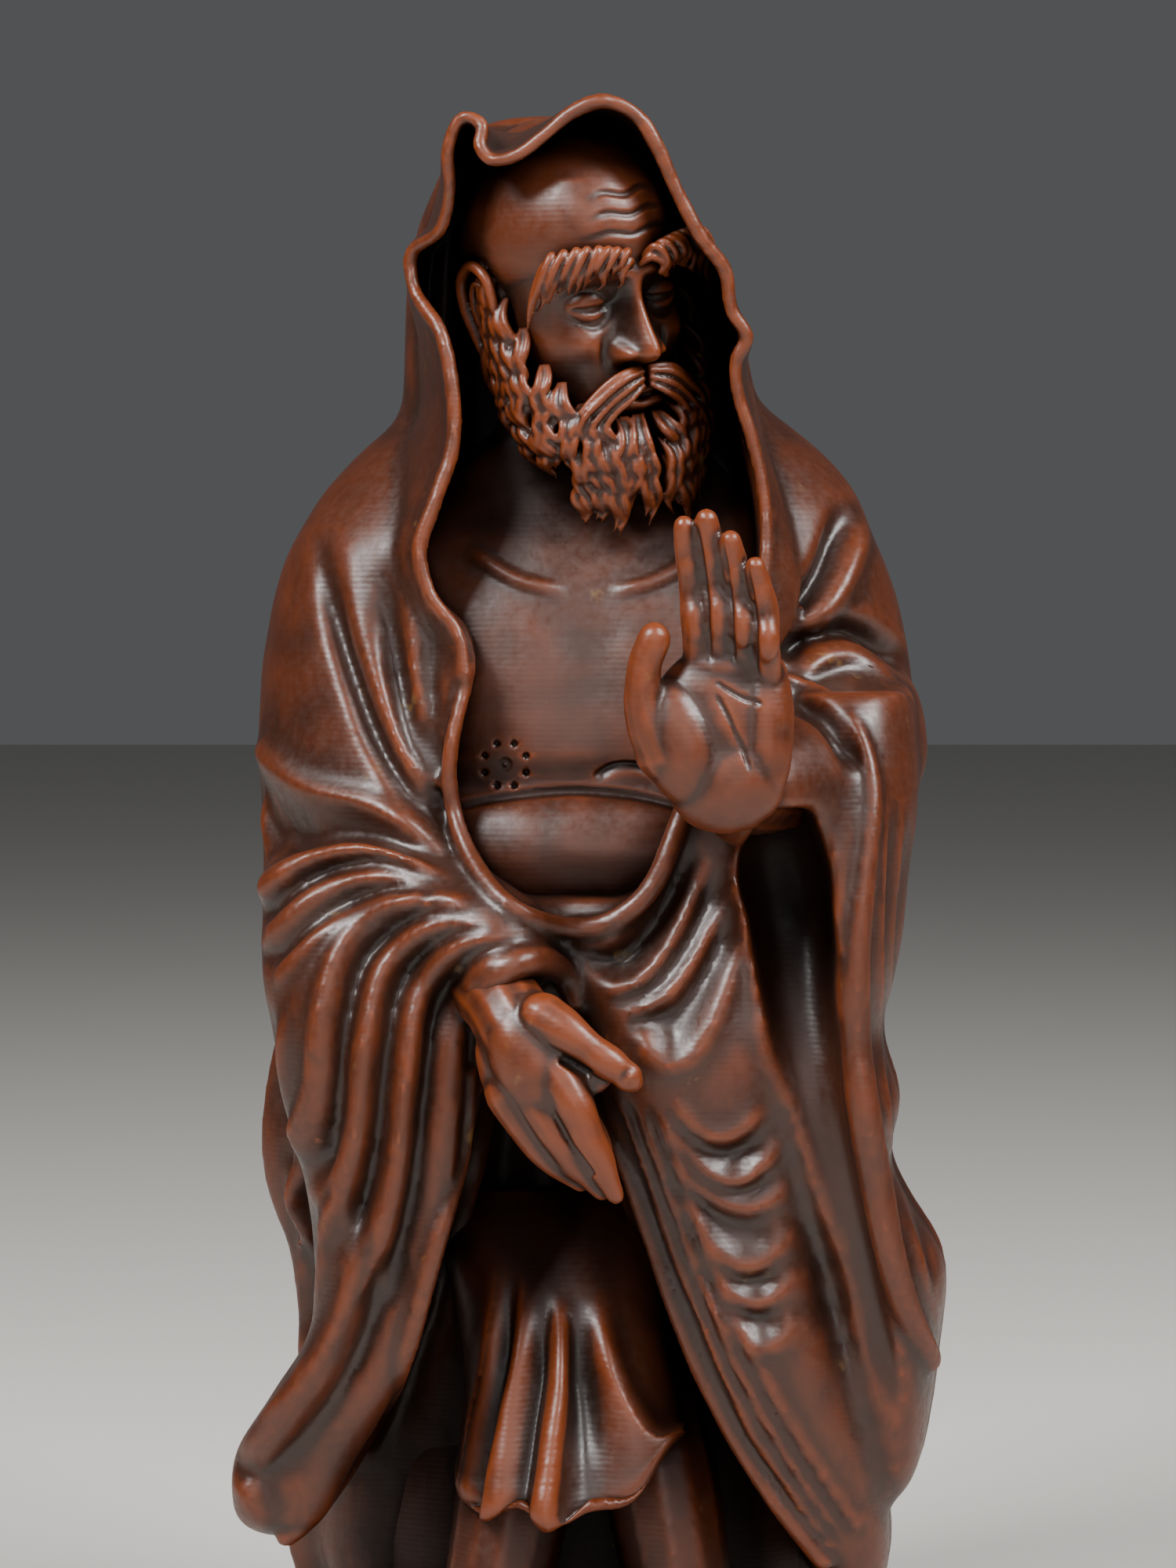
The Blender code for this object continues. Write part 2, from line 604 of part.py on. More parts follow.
def cloth_rolls(tree):
    """The turned edges of the cloth: round the opening, both cuffs and the mouths of the sleeves."""
    return [
        roll("lapel", tree, outside(OPENING[LAPEL], -0.9), [1.5, 1.7, 1.9, 2.1, 2.0, 1.8], 1.0),
        roll("cuff", tree, CUFF, [1.6, 2.0, 2.2, 1.6], 0.3),
        roll("sleeve_edge", tree, NEAR_SLEEVE_EDGE, [1.5, 1.6, 1.7], 0.2),
        roll("far_cuff", tree, FAR_CUFF, [1.0, 1.3, 1.5, 1.6], 0.2),
        roll("far_rim", tree, FAR_RIM, [1.7, 2.3, 2.4, 1.9], -0.4),
        roll("band_edge", tree, BAND[0], [1.3, 1.5, 1.6, 1.5], 0.3),
    ]


def cut_front_folds(robe):
    """Families of folds. Each is spread between a first and a last guide line in the front view."""
    pleat(robe, "front", between(*SHOULDER, 4), 3.2, lean=0.62, scoop=0.35, fade=(0.3, 0.08))
    pleat(robe, "front", between(*ELBOW, 2), 5.2, lean=0.6, scoop=0.4, fade=(0.05, 0.2))
    pleat(robe, "front", between(*BELOW_ELBOW, 3), 2.6, scoop=0.2, fade=(0.05, 0.2), skirtage=1.5)
    pleat(robe, "front", between(*SLEEVE, 5), 4.4, lean=0.5, scoop=0.15, fade=(0.08, 0.1), skirtage=2.0)
    pleat(robe, "front", between(*DROP, 3), 4.6, lean=0.4, scoop=0.6, fade=(0.25, 0.03))
    pleat(robe, "front", between(*OUTER_DROP, 2), 3.4, fade=(0.25, 0.1), skirtage=1.5)
    pleat(robe, "front", between(*BACK_LOOP, 2), 4.5, scoop=0.6, fade=(0.2, 0.15), skirtage=1.5)
    pleat(robe, "front", swags(*UPPER_SWAGS, 4, 4.4, low=0.34), 4.2, lean=0.35, scoop=0.5,
          fade=(0.1, 0.12), skirtage=2.0)
    pleat(robe, "front", swags(*LOWER_SWAGS, 5, 5.4, low=0.5), 4.2, lean=0.32, scoop=0.5,
          fade=(0.1, 0.1), skirtage=2.0)
    pleat(robe, "front", between(*BAND, 4), 2.6, scoop=0.3, fade=(0.05, 0.02), skirtage=1.5)
    pleat(robe, "front", between(*FAR_SIDE, 3), 2.6, scoop=0.3, fade=(0.15, 0.1), skirtage=1.5)
    groove(robe, "front", FAR_CREASE, -3.6, 2.4, 1.7, fade=(0.1, 0.25))
    groove(robe, "front", outside(FAR_CREASE, 3.4), 1.2, 1.8, fade=(0.1, 0.3))
    groove(robe, "front", FAR_CUFF_GAP, -2.6, 1.3, 2.4, fade=(0.1, 0.3))
    groove(robe, "front", FAR_VALLEY, -3.0, 2.4, fade=(0.35, 0.1))
    groove(robe, "front", outside(FAR_VALLEY, -3.2), 1.2, 2.2, fade=(0.35, 0.1))


def cut_hidden_folds(robe):
    """The back and the sides, plainer than the front."""
    back = between([(-33, 146), (-29, 96), (-33, 15)], [(33, 146), (29, 96), (33, 15)], 7)
    pleat(robe, "back", back, 3.6, scoop=0.3, fade=(0.4, 0.0))
    cowl = swags([(-21, 190), (-25, 178), (-32, 168)], [(18, 190), (23, 178), (31, 168)], 3, 11.0)
    pleat(robe, "back", cowl, 2.6, lean=0.6, scoop=0.3, fade=(0.15, 0.15))
    for view in ("left", "right"):
        side = between([(-12, 120), (-10, 80), (-12, 30)], [(18, 130), (20, 80), (18, 26)], 4)
        pleat(robe, view, side, 3.2, scoop=0.3, fade=(0.25, 0.02))


def build_robe():
    shell = fuse("shell", cloak_and_hood(), ROUGH_GRID, relax=3)
    shell = cut_away(shell, prism("opening", OPENING, -60, 3))
    masses = fuse("masses", [shell, torso(), *sleeves_and_drapes()], ROUGH_GRID, relax=4)
    body = cut_away(masses, sleeve_mouth())
    folded = fuse("folded", [body], FINE_GRID, relax=1)
    cut_front_folds(folded)
    cut_hidden_folds(folded)
    pleat(folded, "front", SKIRT_NEAR, 2.6, lean=0.6, scoop=0.2, fade=(0.3, 0.0), reach=(-34, -8))
    pleat(folded, "front", SKIRT_FAR, 2.8, lean=0.4, scoop=0.3, fade=(0.3, 0.0), reach=(-34, -8))
    soften(folded, 3)
    hood_front = sheet("hood_front", HOOD_EDGE, HOOD_LINE, HOOD_WALL, 1.0)
    rim = tube("hood_rim", HOOD_EDGE, [1.3, 1.4, 1.3, 1.3, 1.3, 1.4, 1.3, 1.3])
    return fuse("robe", [folded, hood_front, rim, *cloth_rolls(skin_tree(folded))], FINE_GRID, relax=2)


# The head


def head_parts():
    """The bald head, straight ahead, with the line of the eyes at z = 0, before it is turned and placed."""
    parts = [
        blob("cranium", (0, 2.5, 7.5), (13.8, 16.5, 14)),
        loft("face", [
            (16, -8, 8, -9.5, 0), (10, -11.8, 11.8, -12.8, 0), (4.5, -12, 12, -13.6, 0),
            (0.5, -11.6, 11.6, -11.4, 0),
            (-4.5, -11.6, 11.6, -12.4, 0), (-9, -10.8, 10.8, -13, 0), (-13, -9.6, 9.6, -13.4, 0),
            (-17, -7.8, 7.8, -12.8, 0), (-20.5, -5, 5, -12.4, -2), (-22.5, -3, 3, -10.4, -5),
        ], power=2.3),
        tube("nose", [(0, -12.8, 3.4), (0, -14.6, -1), (0, -17.2, -5.4)], [1.3, 1.5, 2.1]),
        blob("nose_foot", (0, -14.6, -6.6), (3.2, 2.4, 1.4)),
        tube("lips", [(-3.8, -12.6, -12.4), (0, -14, -12.4), (3.8, -12.6, -12.4)], [0.8, 1.5, 0.8]),
    ]
    for side in (-1, 1):
        parts += [
            blob("cheek", (side * 6.9, -8.6, -4.4), (4.4, 4.4, 3.8)),
            blob("eye", (side * 5.1, -9.6, 0), (3.2, 3.1, 2.7)),
            tube("ear_rim", [(side * 13.6, -1.4, -3.4), (side * 14.2, -1.2, 1.4), (side * 14.6, 2, 4.4),
                             (side * 14.7, 4.6, 0.8), (side * 14, 2.6, -5), (side * 13.6, 1.2, -8.6)],
                 [0.9, 1.2, 1.3, 1.2, 1.2, 1.6]),
            blob("ear_bowl", (side * 12.8, 1.6, -1.6), (1.3, 3.4, 5.6), (0, side * -6, side * -8)),
        ]
    return parts


BEARD_SECTIONS = [
    (2, -11.6, 11.6, -3, 6), (-4, -13, 13, -8.4, 6), (-9, -13.8, 13.8, -11.6, 5), (-13, -14, 14, -13.2, 4),
    (-17, -13.2, 13.2, -15.2, 2), (-21, -11.2, 11.2, -16, 0), (-25, -8, 8, -15.2, -2),
    (-28.6, -3.6, 3.6, -13, -5),
]
BEARD_POWER = 2.2


def beard_point(turn, z, lift):
    """A point of the beard's surface. turn is in radians from straight ahead, z is its height."""
    stations = smooth_path(BEARD_SECTIONS, 65, key=0)
    heights = -stations[:, 0]
    left, right, front, back = [np.interp(-z, heights, stations[:, k]) for k in (1, 2, 3, 4)]
    across, ahead = math.sin(turn), -math.cos(turn)
    x = math.copysign(abs(across) ** (2 / BEARD_POWER),
        across) * ((right - left) / 2 + lift) + (left + right) / 2
    deep = math.copysign(abs(ahead) ** (2 / BEARD_POWER), ahead)
    return x, (front + back) / 2 + deep * ((back - front) / 2 + lift), z


def beard_parts():
    parts = [loft("beard", BEARD_SECTIONS, power=BEARD_POWER)]
    # Locks in staggered rows, from ear to ear
    for row in range(LOCK_ROWS):
        for k in range(LOCKS):
            turn = math.radians(-80 + 160 * (k + 0.5 * (row % 2)) / (LOCKS - 0.5))
            top = -13.4 - 3.6 * row + 9 * (1 - math.cos(turn))
            lean = 0.07 * (-1) ** (k + row)
            parts.append(tube("lock", [
                beard_point(turn, top, 0.0), beard_point(turn + lean, top - 2.6, 0.9),
                beard_point(turn - lean, top - 5.6, 0.5),
            ], [0.7, 1.3, 0.4]))
    for side in (-1, 1):
        parts += [
            tube("moustache", [(side * 0.7, -15.2, -9), (side * 4, -15, -10.6), (side * 7, -13, -14),
                               (side * 8, -13.4, -17.4)], [1.0, 1.7, 1.5, 0.6]),
            tube("eyebrow", [(side * 1.4, -14.6, 4.6), (side * 6, -13.8, 6.2), (side * 10.6, -10.4, 3.6),
                             (side * 12, -8.6, -0.6)], [1.2, 1.8, 1.6, 0.8]),
        ]
    return parts


def place_head(parts):
    turn = Euler([math.radians(a) for a in (HEAD_PITCH, HEAD_ROLL, HEAD_YAW)]).to_matrix().to_4x4()
    place = Matrix.Translation(Vector(HEAD_PLACE) * UNIT) @ turn
    for obj in parts:
        obj.data.transform(place)
    return parts


# The hands


def raised_hand():
    """The left hand, palm forward."""
    y = RAISED_HAND_Y
    # Each finger: where it leaves the palm, its middle and its tip in the front view, and how thick it is
    fingers = [
        ((13.4, 141), (13.0, 149.4), (11.5, 157.8), 1.85), ((16.4, 141.6), (15.9, 150.6),
        (14.4, 158.8), 1.9),
        ((19.4, 141), (18.8, 149.2), (17.2, 156.2), 1.85), ((22.4, 139.4), (21.8, 147.2),
        (20.2, 153.0), 1.75),
    ]
    parts = [
        blob("palm", (15.6, y + 0.9, 133), (9.6, 3.7, 10.6), (0, 4, 0)),
        blob("palm_edge", (21.2, y + 0.2, 133), (4.0, 3.6, 10.4), (0, 3, 0)),
        blob("palm_top", (17.4, y + 0.3, 140.6), (7.0, 2.7, 3.6)),
        blob("thumb_pad", (10.6, y - 1.2, 131.6), (5.6, 4.3, 7.6), (0, -24, 0)),
        blob("heel", (17.4, y - 0.2, 126.4), (6.6, 3.8, 5.0)),
        tube("wrist", [(17, y + 2, 127), (19.4, y + 8, 126.6), (23, y + 16, 127)], [5.8, 6.2, 7]),
        tube("thumb", [(7.6, y - 0.8, 133), (6.4, y - 2.0, 138.4), (7.6, y - 2.4, 142.6),
            (8.5, y - 2.6, 145)],
             [3.6, 2.6, 2.2, 2.5]),
    ]
    for n, (foot, middle, tip, r) in enumerate(fingers):
        near = y - 1.1 * n
        points = [(foot[0], y + 0.6, foot[1] - 4), (foot[0], y + 0.2 - 0.5 * n, foot[1] + 1),
                  (middle[0], near + 0.6, middle[1]),
                  ((middle[0] + tip[0]) / 2, near - 0.2, (middle[1] + tip[1]) / 2),
                  (tip[0], near - 2.0, tip[1])]
        parts.append(tube("finger", points, [r, r * 1.03, r * 0.9, r * 1.04, r * 0.92]))
        parts.append(blob("pad", (tip[0], near - 2.3, tip[1] - 0.6), (r * 0.9, r * 0.85, r * 1.3),
            (0, -10, 0)))
    return parts


def low_hand():
    """The right hand, which holds the edge of the robe between thumb and finger."""
    y = LOW_HAND_Y
    parts = [
        blob("back_of_hand", (-6.6, y + 2.6, 93.6), (5.6, 4.2, 9.0), (0, -28, 0)),
        tube("wrist", [(-14, y + 14, 100), (-9.6, y + 6, 98)], [4.6, 4.8]),
        tube("thumb", [(-6.4, y + 0.8, 99), (-2.4, y - 1.2, 96.4), (1.4, y - 1.6, 93.6),
            (4.6, y - 1.0, 91.2)],
             [3.4, 2.5, 2.0, 2.0]),
        blob("knuckle", (-2.4, y - 1.6, 96.4), (2.2, 1.9, 1.9)),
        tube("first_finger", [(-4.4, y + 0.6, 92.4), (-1.4, y - 1.4, 87), (1.0, y - 1.2, 81.4),
            (3.0, y + 0.2, 76.6)],
             [3.2, 2.5, 2.1, 1.3]),
        tube("other_fingers", [(-8.2, y + 1.6, 90.6), (-5.2, y + 0.2, 85), (-1.8, y + 0.2, 80),
            (2.2, y + 1.2, 76)],
             [3.6, 2.8, 2.3, 1.3]),
        tube("last_finger", [(-10.6, y + 3.2, 90.6), (-8.2, y + 2.4, 86), (-4.6, y + 2.4, 81.4),
            (-1, y + 3, 78)],
             [3.0, 2.4, 2.0, 1.4]),
        blob("thumb_nail", (4.1, y - 2.7, 91.8), (1.3, 0.55, 1.5), (24, 38, 0)),
    ]
    return parts


# The feet and the base


def feet_and_legs():
    parts = [loft("legs", [(6, -31, 32, -8, 20), (24, -32, 33, -8, 23), (42, -31, 33, -6, 23)])]
    for side in (-1, 1):
        parts += [
            tube("trouser", [(side * 8.4 - 1, -8, 46), (side * 9.6, -12, 34),
                (side * 12, -15, 20)], [7, 7.6, 7]),
            blob("foot", (side * 13.8, -21, 13.6), (6.6, 14, 5.4)),
        ]
        for toe in range(5):
            out = (toe - 2) * 2.5
            parts.append(blob("toe", (side * 13.8 + out, -34 + abs(out) * 0.5, 12.8), (1.7, 3, 1.9)))
    return parts


def build_base():
    """The low rock, in its own sizes. It starts below the floor, so that the underside can be cut flat."""
    sizes = ((-0.2, 0.49), (0.25, 0.5), (0.62, 0.485), (0.88, 0.45), (1.0, 0.41))
    stations = []
    for up, half in sizes:
        stations.append((up * BASE_THICKNESS, -half * BASE_LENGTH, half * BASE_LENGTH,
                         -half * BASE_WIDTH, half * BASE_WIDTH))
    base = loft("base", stations, power=2.7)
    base.data.transform(Matrix.Scale(MM / UNIT, 4))
    return base


def outer_skin(obj):
    """Drops the closed pockets that are left inside where masses meet."""
    whole = bmesh.new()
    whole.from_mesh(obj.data)
    left = set(whole.verts)
    islands = []
    while left:
        found = [left.pop()]
        for vert in found:
            for edge in vert.link_edges:
                other = edge.other_vert(vert)
                if other in left:
                    left.discard(other)
                    found.append(other)
        islands.append(found)
    islands.sort(key=len)
    for island in islands[:-1]:
        bmesh.ops.delete(whole, geom=island, context="VERTS")
    whole.to_mesh(obj.data)
    whole.free()


def thin_out(obj):
    """The same skin in at most MOST_TRIANGLES triangles."""
    name = obj.name
    thin = obj.modifiers.new("thin", "DECIMATE")
    thin.ratio = MOST_TRIANGLES / (2 * len(obj.data.polygons))
    thin.use_collapse_triangulate = True
    graph = bpy.context.evaluated_depsgraph_get()
    mesh = bpy.data.meshes.new_from_object(obj.evaluated_get(graph))
    bpy.data.objects.remove(obj)
    made = bpy.data.objects.new(name, mesh)
    bpy.context.scene.collection.objects.link(made)
    return made


def cut_underside(obj):
    """Cuts off what lies below z = 0 and closes it with one flat face."""
    whole = bmesh.new()
    whole.from_mesh(obj.data)
    everything = whole.verts[:] + whole.edges[:] + whole.faces[:]
    bmesh.ops.bisect_plane(whole, geom=everything, dist=0.002 * UNIT, plane_co=(0, 0, 0),
        plane_no=(0, 0, 1),
                           clear_inner=True)
    rim = [edge for edge in whole.edges if edge.is_boundary]
    bmesh.ops.contextual_create(whole, geom=rim)
    bmesh.ops.recalc_face_normals(whole, faces=whole.faces)
    whole.to_mesh(obj.data)
    whole.free()


def boxwood():
    made = bpy.data.materials.new("boxwood")
    made.use_nodes = True
    shader = made.node_tree.nodes["Principled BSDF"]
    shader.inputs["Base Color"].default_value = WOOD_COLOUR
    shader.inputs["Roughness"].default_value = WOOD_ROUGHNESS
    shader.inputs["Metallic"].default_value = 0.0
    return made


def build():
    clear_scene()
    robe = build_robe()
    head = place_head(head_parts() + beard_parts())
    figure = join("figure", [robe, *head, *raised_hand(), *low_hand(), *feet_and_legs()])
    figure.data.transform(Matrix.Translation((0, 0, BASE_THICKNESS * MM - DESIGN_BASE * UNIT)))
    statue = fuse("bodhidharma_statue", [figure, build_base()], HEAD_GRID, relax=1)
    outer_skin(statue)
    statue = thin_out(statue)
    cut_underside(statue)
    statue.data.materials.append(boxwood())
    own = bpy.data.collections.new("bodhidharma_statue")
    bpy.context.scene.collection.children.link(own)
    bpy.context.scene.collection.objects.unlink(statue)
    own.objects.link(statue)
    return statue


if __name__ == "__main__":
    build()
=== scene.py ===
"""The looks of the boxwood monk: one carving, shown by overlapping meshes of the same wood.

Front is -Y. Numbers of the figure are millimetres from the middle of the underside, and MM turns them into
metres. Each mesh is made as a carver works: masses, a skin over them, rolls of cloth laid on, folds cut
between pairs of guide lines, and last the fine tool work.
"""

import math

import bmesh
import bpy
import numpy as np
from mathutils import Euler, Matrix, Vector, noise
from mathutils.bvhtree import BVHTree


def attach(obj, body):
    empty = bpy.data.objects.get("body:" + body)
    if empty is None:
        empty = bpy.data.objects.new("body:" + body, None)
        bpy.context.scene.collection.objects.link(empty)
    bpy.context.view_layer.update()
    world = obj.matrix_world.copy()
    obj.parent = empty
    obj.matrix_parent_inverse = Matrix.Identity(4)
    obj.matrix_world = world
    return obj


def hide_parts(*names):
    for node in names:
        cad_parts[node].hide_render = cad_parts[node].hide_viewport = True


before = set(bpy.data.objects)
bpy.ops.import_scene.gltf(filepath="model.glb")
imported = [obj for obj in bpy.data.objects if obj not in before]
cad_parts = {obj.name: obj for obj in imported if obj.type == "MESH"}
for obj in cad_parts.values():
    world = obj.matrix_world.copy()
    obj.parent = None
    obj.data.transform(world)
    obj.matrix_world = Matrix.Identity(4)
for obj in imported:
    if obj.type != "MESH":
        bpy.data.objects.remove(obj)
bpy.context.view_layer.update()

MM = 0.001
NODE = "bodhidharma_statue"

# Grids of the skins, in millimetres
ROUGH_GRID = 1.3
FOLD_GRID = 0.65
ROBE_GRID = 0.55
CHEST_GRID = 0.3
HEAD_GRID = 0.24
BEARD_GRID = 0.25
BROW_GRID = 0.2
HAND_GRID = 0.3
SKIRT_GRID = 0.45
FOOT_GRID = 0.6
BASE_GRID = 0.8

# The most triangles that a skin keeps
FINE_TRIANGLES = 196000
HEAD_TRIANGLES = 120000
SOFT_TRIANGLES = 60000
FOOT_TRIANGLES = 40000
BASE_TRIANGLES = 30000

# Turn and place of the bowed head
HEAD_PLACE = (-1.0, -8.0, 190.0)
HEAD_PITCH = 12.0
HEAD_ROLL = -11.0
HEAD_YAW = 30.0

RAISED_HAND_Y = -43.0
LOW_HAND_Y = -40.0


# Paths and numbers


def smooth_path(points, count, key=None):
    """A smooth curve through the points, as count rows. key is the column that runs along it, if any."""
    rows = np.array(points, float)
    if key is None:
        steps = np.linalg.norm(np.diff(rows[:, :3], axis=0), axis=1)
    else:
        steps = np.abs(np.diff(rows[:, key]))
    along = np.concatenate([[0.0], np.cumsum(np.maximum(steps, 1e-6))])
    slopes = np.gradient(rows, along, axis=0)
    at = np.linspace(0.0, along[-1], count)
    i = np.clip(np.searchsorted(along, at, side="right") - 1, 0, len(rows) - 2)
    span = (along[i + 1] - along[i])[:, None]
    t = ((at - along[i])[:, None]) / span
    start = (2 * t**3 - 3 * t**2 + 1) * rows[i] + (t**3 - 2 * t**2 + t) * span * slopes[i]
    end = (3 * t**2 - 2 * t**3) * rows[i + 1] + (t**3 - t**2) * span * slopes[i + 1]
    return start + end


def smooth_step(value):
    value = np.clip(value, 0.0, 1.0)
    return value * value * (3 - 2 * value)


def end_fade(share, fade):
    return smooth_step(share / max(fade[0], 1e-6)) * smooth_step((1 - share) / max(fade[1], 1e-6))


def outside(path, distance):
    """The path in a view, moved to its right by distance."""
    rows = np.array(path, float)
    way = np.gradient(rows, axis=0)
    way /= np.linalg.norm(way, axis=1)[:, None]
    return rows + distance * np.stack([way[:, 1], -way[:, 0]], axis=1)


def point_on(path, share):
    return smooth_path(path, 101)[int(round(share * 100))]


def between(first, last, count):
    """count paths spread evenly from one guide to another, which have as many points."""
    a, b = np.array(first, float), np.array(last, float)
    return [a + (b - a) * k / (count - 1) for k in range(count)]


def swags(left, right, count, sag, low=0.42, crowd=1.0):
    """count folds that hang from one line to another, each lowest where low says along it.

    crowd above 1 brings the first ones closer together on the left.
    """
    paths = []
    for k in range(count):
        a, b = point_on(left, (k / (count - 1)) ** crowd), point_on(right, k / (count - 1))
        drop = sag * (1 + 0.25 * math.sin(2.4 * k))
        path = []
        for share in np.linspace(0, 1, 9):
            bent = share ** (math.log(0.5) / math.log(low))
            path.append(a + (b - a) * share - (0, 4 * drop * bent * (1 - bent)))
        paths.append(path)
    return paths


# Masses


def deselect():
    for obj in list(bpy.context.selected_objects):
        obj.select_set(False)


def link(name, mesh):
    made = bpy.data.objects.new(name, mesh)
    bpy.context.scene.collection.objects.link(made)
    return made


def loft(name, stations, around=72, rings=60, power=2.4):
    """A closed body through level sections. Each station is (z, left x, right x, front y, back y)."""
    rows = smooth_path(stations, rings, key=0)
    angle = np.arange(around) * 2 * math.pi / around
    c, s = np.cos(angle), np.sin(angle)
    wide = np.sign(c) * np.abs(c) ** (2 / power)
    deep = np.sign(s) * np.abs(s) ** (2 / power)
    points = []
    for z, left, right, front, back in rows:
        x = (left + right) / 2 + wide * (right - left) / 2
        y = (front + back) / 2 + deep * (back - front) / 2
        points += [(a * MM, b * MM, z * MM) for a, b in zip(x, y)]
    faces = []
    for ring in range(rings - 1):
        low, high = ring * around, (ring + 1) * around
        for k in range(around):
            j = (k + 1) % around
            faces.append((low + k, low + j, high + j, high + k))
    faces.append(tuple(reversed(range(around))))
    faces.append(tuple(range((rings - 1) * around, rings * around)))
    mesh = bpy.data.meshes.new(name)
    mesh.from_pydata(points, [], faces)
    weld(mesh)
    return link(name, mesh)


def weld(mesh):
    """Merges doubled points and faces the mesh outwards."""
    made = bmesh.new()
    made.from_mesh(mesh)
    bmesh.ops.remove_doubles(made, verts=made.verts, dist=0.002 * MM)
    bmesh.ops.recalc_face_normals(made, faces=made.faces)
    made.to_mesh(mesh)
    made.free()


def blob(name, centre, radii, turn=(0, 0, 0)):
    """An ellipsoid. turn is in degrees about X, Y and Z."""
    deselect()
    bpy.ops.mesh.primitive_uv_sphere_add(segments=96, ring_count=56, radius=MM)
    made = bpy.context.object
    made.name = name
    spin = Euler([math.radians(a) for a in turn]).to_matrix().to_4x4()
    place = Matrix.Translation(Vector(centre) * MM)
    made.data.transform(place @ spin @ Matrix.Diagonal((*radii, 1)))
    return made


def tubes(name, runs, sides=4, steps=5):
    """Round tapered runs in one mesh. A run is (points, radii), and its radius is eased from end to end."""
    curve = bpy.data.curves.new(name, "CURVE")
    curve.dimensions = "3D"
    curve.bevel_depth = MM
    curve.bevel_resolution = sides
    curve.use_fill_caps = True
    for points, radii in runs:
        count = max(8, steps * len(points))
        way = smooth_path(points, count)
        sizes = smooth_path([(k, r) for k, r in enumerate(radii)], count)[:, 1]
        way, sizes = round_ends(way, np.maximum(sizes, 0.05))
        line = curve.splines.new("POLY")
        line.points.add(len(way) - 1)
        for point, (x, y, z), r in zip(line.points, way, sizes):
            point.co = (x * MM, y * MM, z * MM, 1)
            point.radius = r
    holder = link(name, curve)
    return as_mesh(holder)


def round_ends(way, sizes):
    """Adds a rounded cap to both ends of a run."""
    first = (way[0] - way[1]) / np.linalg.norm(way[0] - way[1])
    last = (way[-1] - way[-2]) / np.linalg.norm(way[-1] - way[-2])
    turns = np.radians((25, 50, 70, 86))
    start = [way[0] + first * sizes[0] * math.sin(a) for a in turns[::-1]]
    stop = [way[-1] + last * sizes[-1] * math.sin(a) for a in turns]
    sizes = np.concatenate([sizes[0] * np.cos(turns[::-1]), sizes, sizes[-1] * np.cos(turns)])
    return np.array([*start, *way, *stop]), sizes


def tube(name, points, radii):
    return tubes(name, [(points, radii)])


def as_mesh(holder):
    """The object's evaluated shape as a welded mesh object of its own."""
    name = holder.name
    graph = bpy.context.evaluated_depsgraph_get()
    mesh = bpy.data.meshes.new_from_object(holder.evaluated_get(graph))
    mesh.transform(holder.matrix_world)
    bpy.data.objects.remove(holder)
    weld(mesh)
    return link(name, mesh)


def prism(name, outline, front, back):
    """A flat outline in the front view, (x, z), drawn out from y front to y back."""
    rows = smooth_path([*outline, outline[0]], 6 * len(outline))[:-1]
    curve = bpy.data.curves.new(name, "CURVE")
    curve.dimensions = "2D"
    curve.fill_mode = "BOTH"
    curve.extrude = (back - front) / 2 * MM
    line = curve.splines.new("POLY")
    line.use_cyclic_u = True
    line.points.add(len(rows) - 1)
    for point, (x, z) in zip(line.points, rows):
        point.co = (x * MM, z * MM, 0, 1)
    holder = link(name, curve)
    holder.rotation_euler = (math.radians(90), 0, 0)
    holder.location = (0, (front + back) / 2 * MM, 0)
    bpy.context.view_layer.update()
    return as_mesh(holder)


def apply(obj, kind, **settings):
    """Adds one modifier and applies it."""
    deselect()
    obj.select_set(True)
    bpy.context.view_layer.objects.active = obj
    made = obj.modifiers.new(kind.lower(), kind)
    for key, value in settings.items():
        setattr(made, key, value)
    bpy.ops.object.modifier_apply(modifier=made.name)
    return obj


def cut_away(obj, cutter):
    apply(obj, "BOOLEAN", object=cutter, operation="DIFFERENCE")
    bpy.data.objects.remove(cutter)
    return obj


def fuse(name, parts, grid, relax):
    """The parts as one skin on an even grid, its creases softened relax times."""
    deselect()
    for obj in parts:
        obj.select_set(True)
    bpy.context.view_layer.objects.active = parts[0]
    if len(parts) > 1:
        bpy.ops.object.join()
    whole = bpy.context.view_layer.objects.active
    whole.name = name
    apply(whole, "REMESH", mode="VOXEL", voxel_size=grid * MM)
    return apply(whole, "SMOOTH", factor=0.5, iterations=relax)


def outer_skin(obj):
    """Drops the closed pockets that are left inside where masses meet."""
    mesh = obj.data
    links = np.empty(len(mesh.edges) * 2, np.int64)
    mesh.edges.foreach_get("vertices", links)
    links = links.reshape(-1, 2)
    label = np.arange(len(mesh.vertices))
    while True:
        lower = np.minimum(label[links[:, 0]], label[links[:, 1]])
        before = label.copy()
        np.minimum.at(label, links[:, 0], lower)
        np.minimum.at(label, links[:, 1], lower)
        label = label[label]
        if np.array_equal(label, before):
            break
    names, counts = np.unique(label, return_counts=True)
    if len(names) == 1:
        return
    largest = names[np.argmax(counts)]
    whole = bmesh.new()
    whole.from_mesh(mesh)
    whole.verts.ensure_lookup_table()
    loose = [whole.verts[int(i)] for i in np.nonzero(label != largest)[0]]
    bmesh.ops.delete(whole, geom=loose, context="VERTS")
    whole.to_mesh(mesh)
    whole.free()


def thin_out(obj, most):
    triangles = 2 * len(obj.data.polygons)
    if triangles > most:
        apply(obj, "DECIMATE", ratio=most / triangles, use_collapse_triangulate=True)


# Laying cloth on the surface and cutting folds

# A view says which axes run across and up, which runs into the picture, and from which side it is seen.
VIEWS = {
    "front": (0, 2, 1, -1),
    "back": (0, 2, 1, 1),
    "left": (1, 2, 0, -1),
    "right": (1, 2, 0, 1),
}
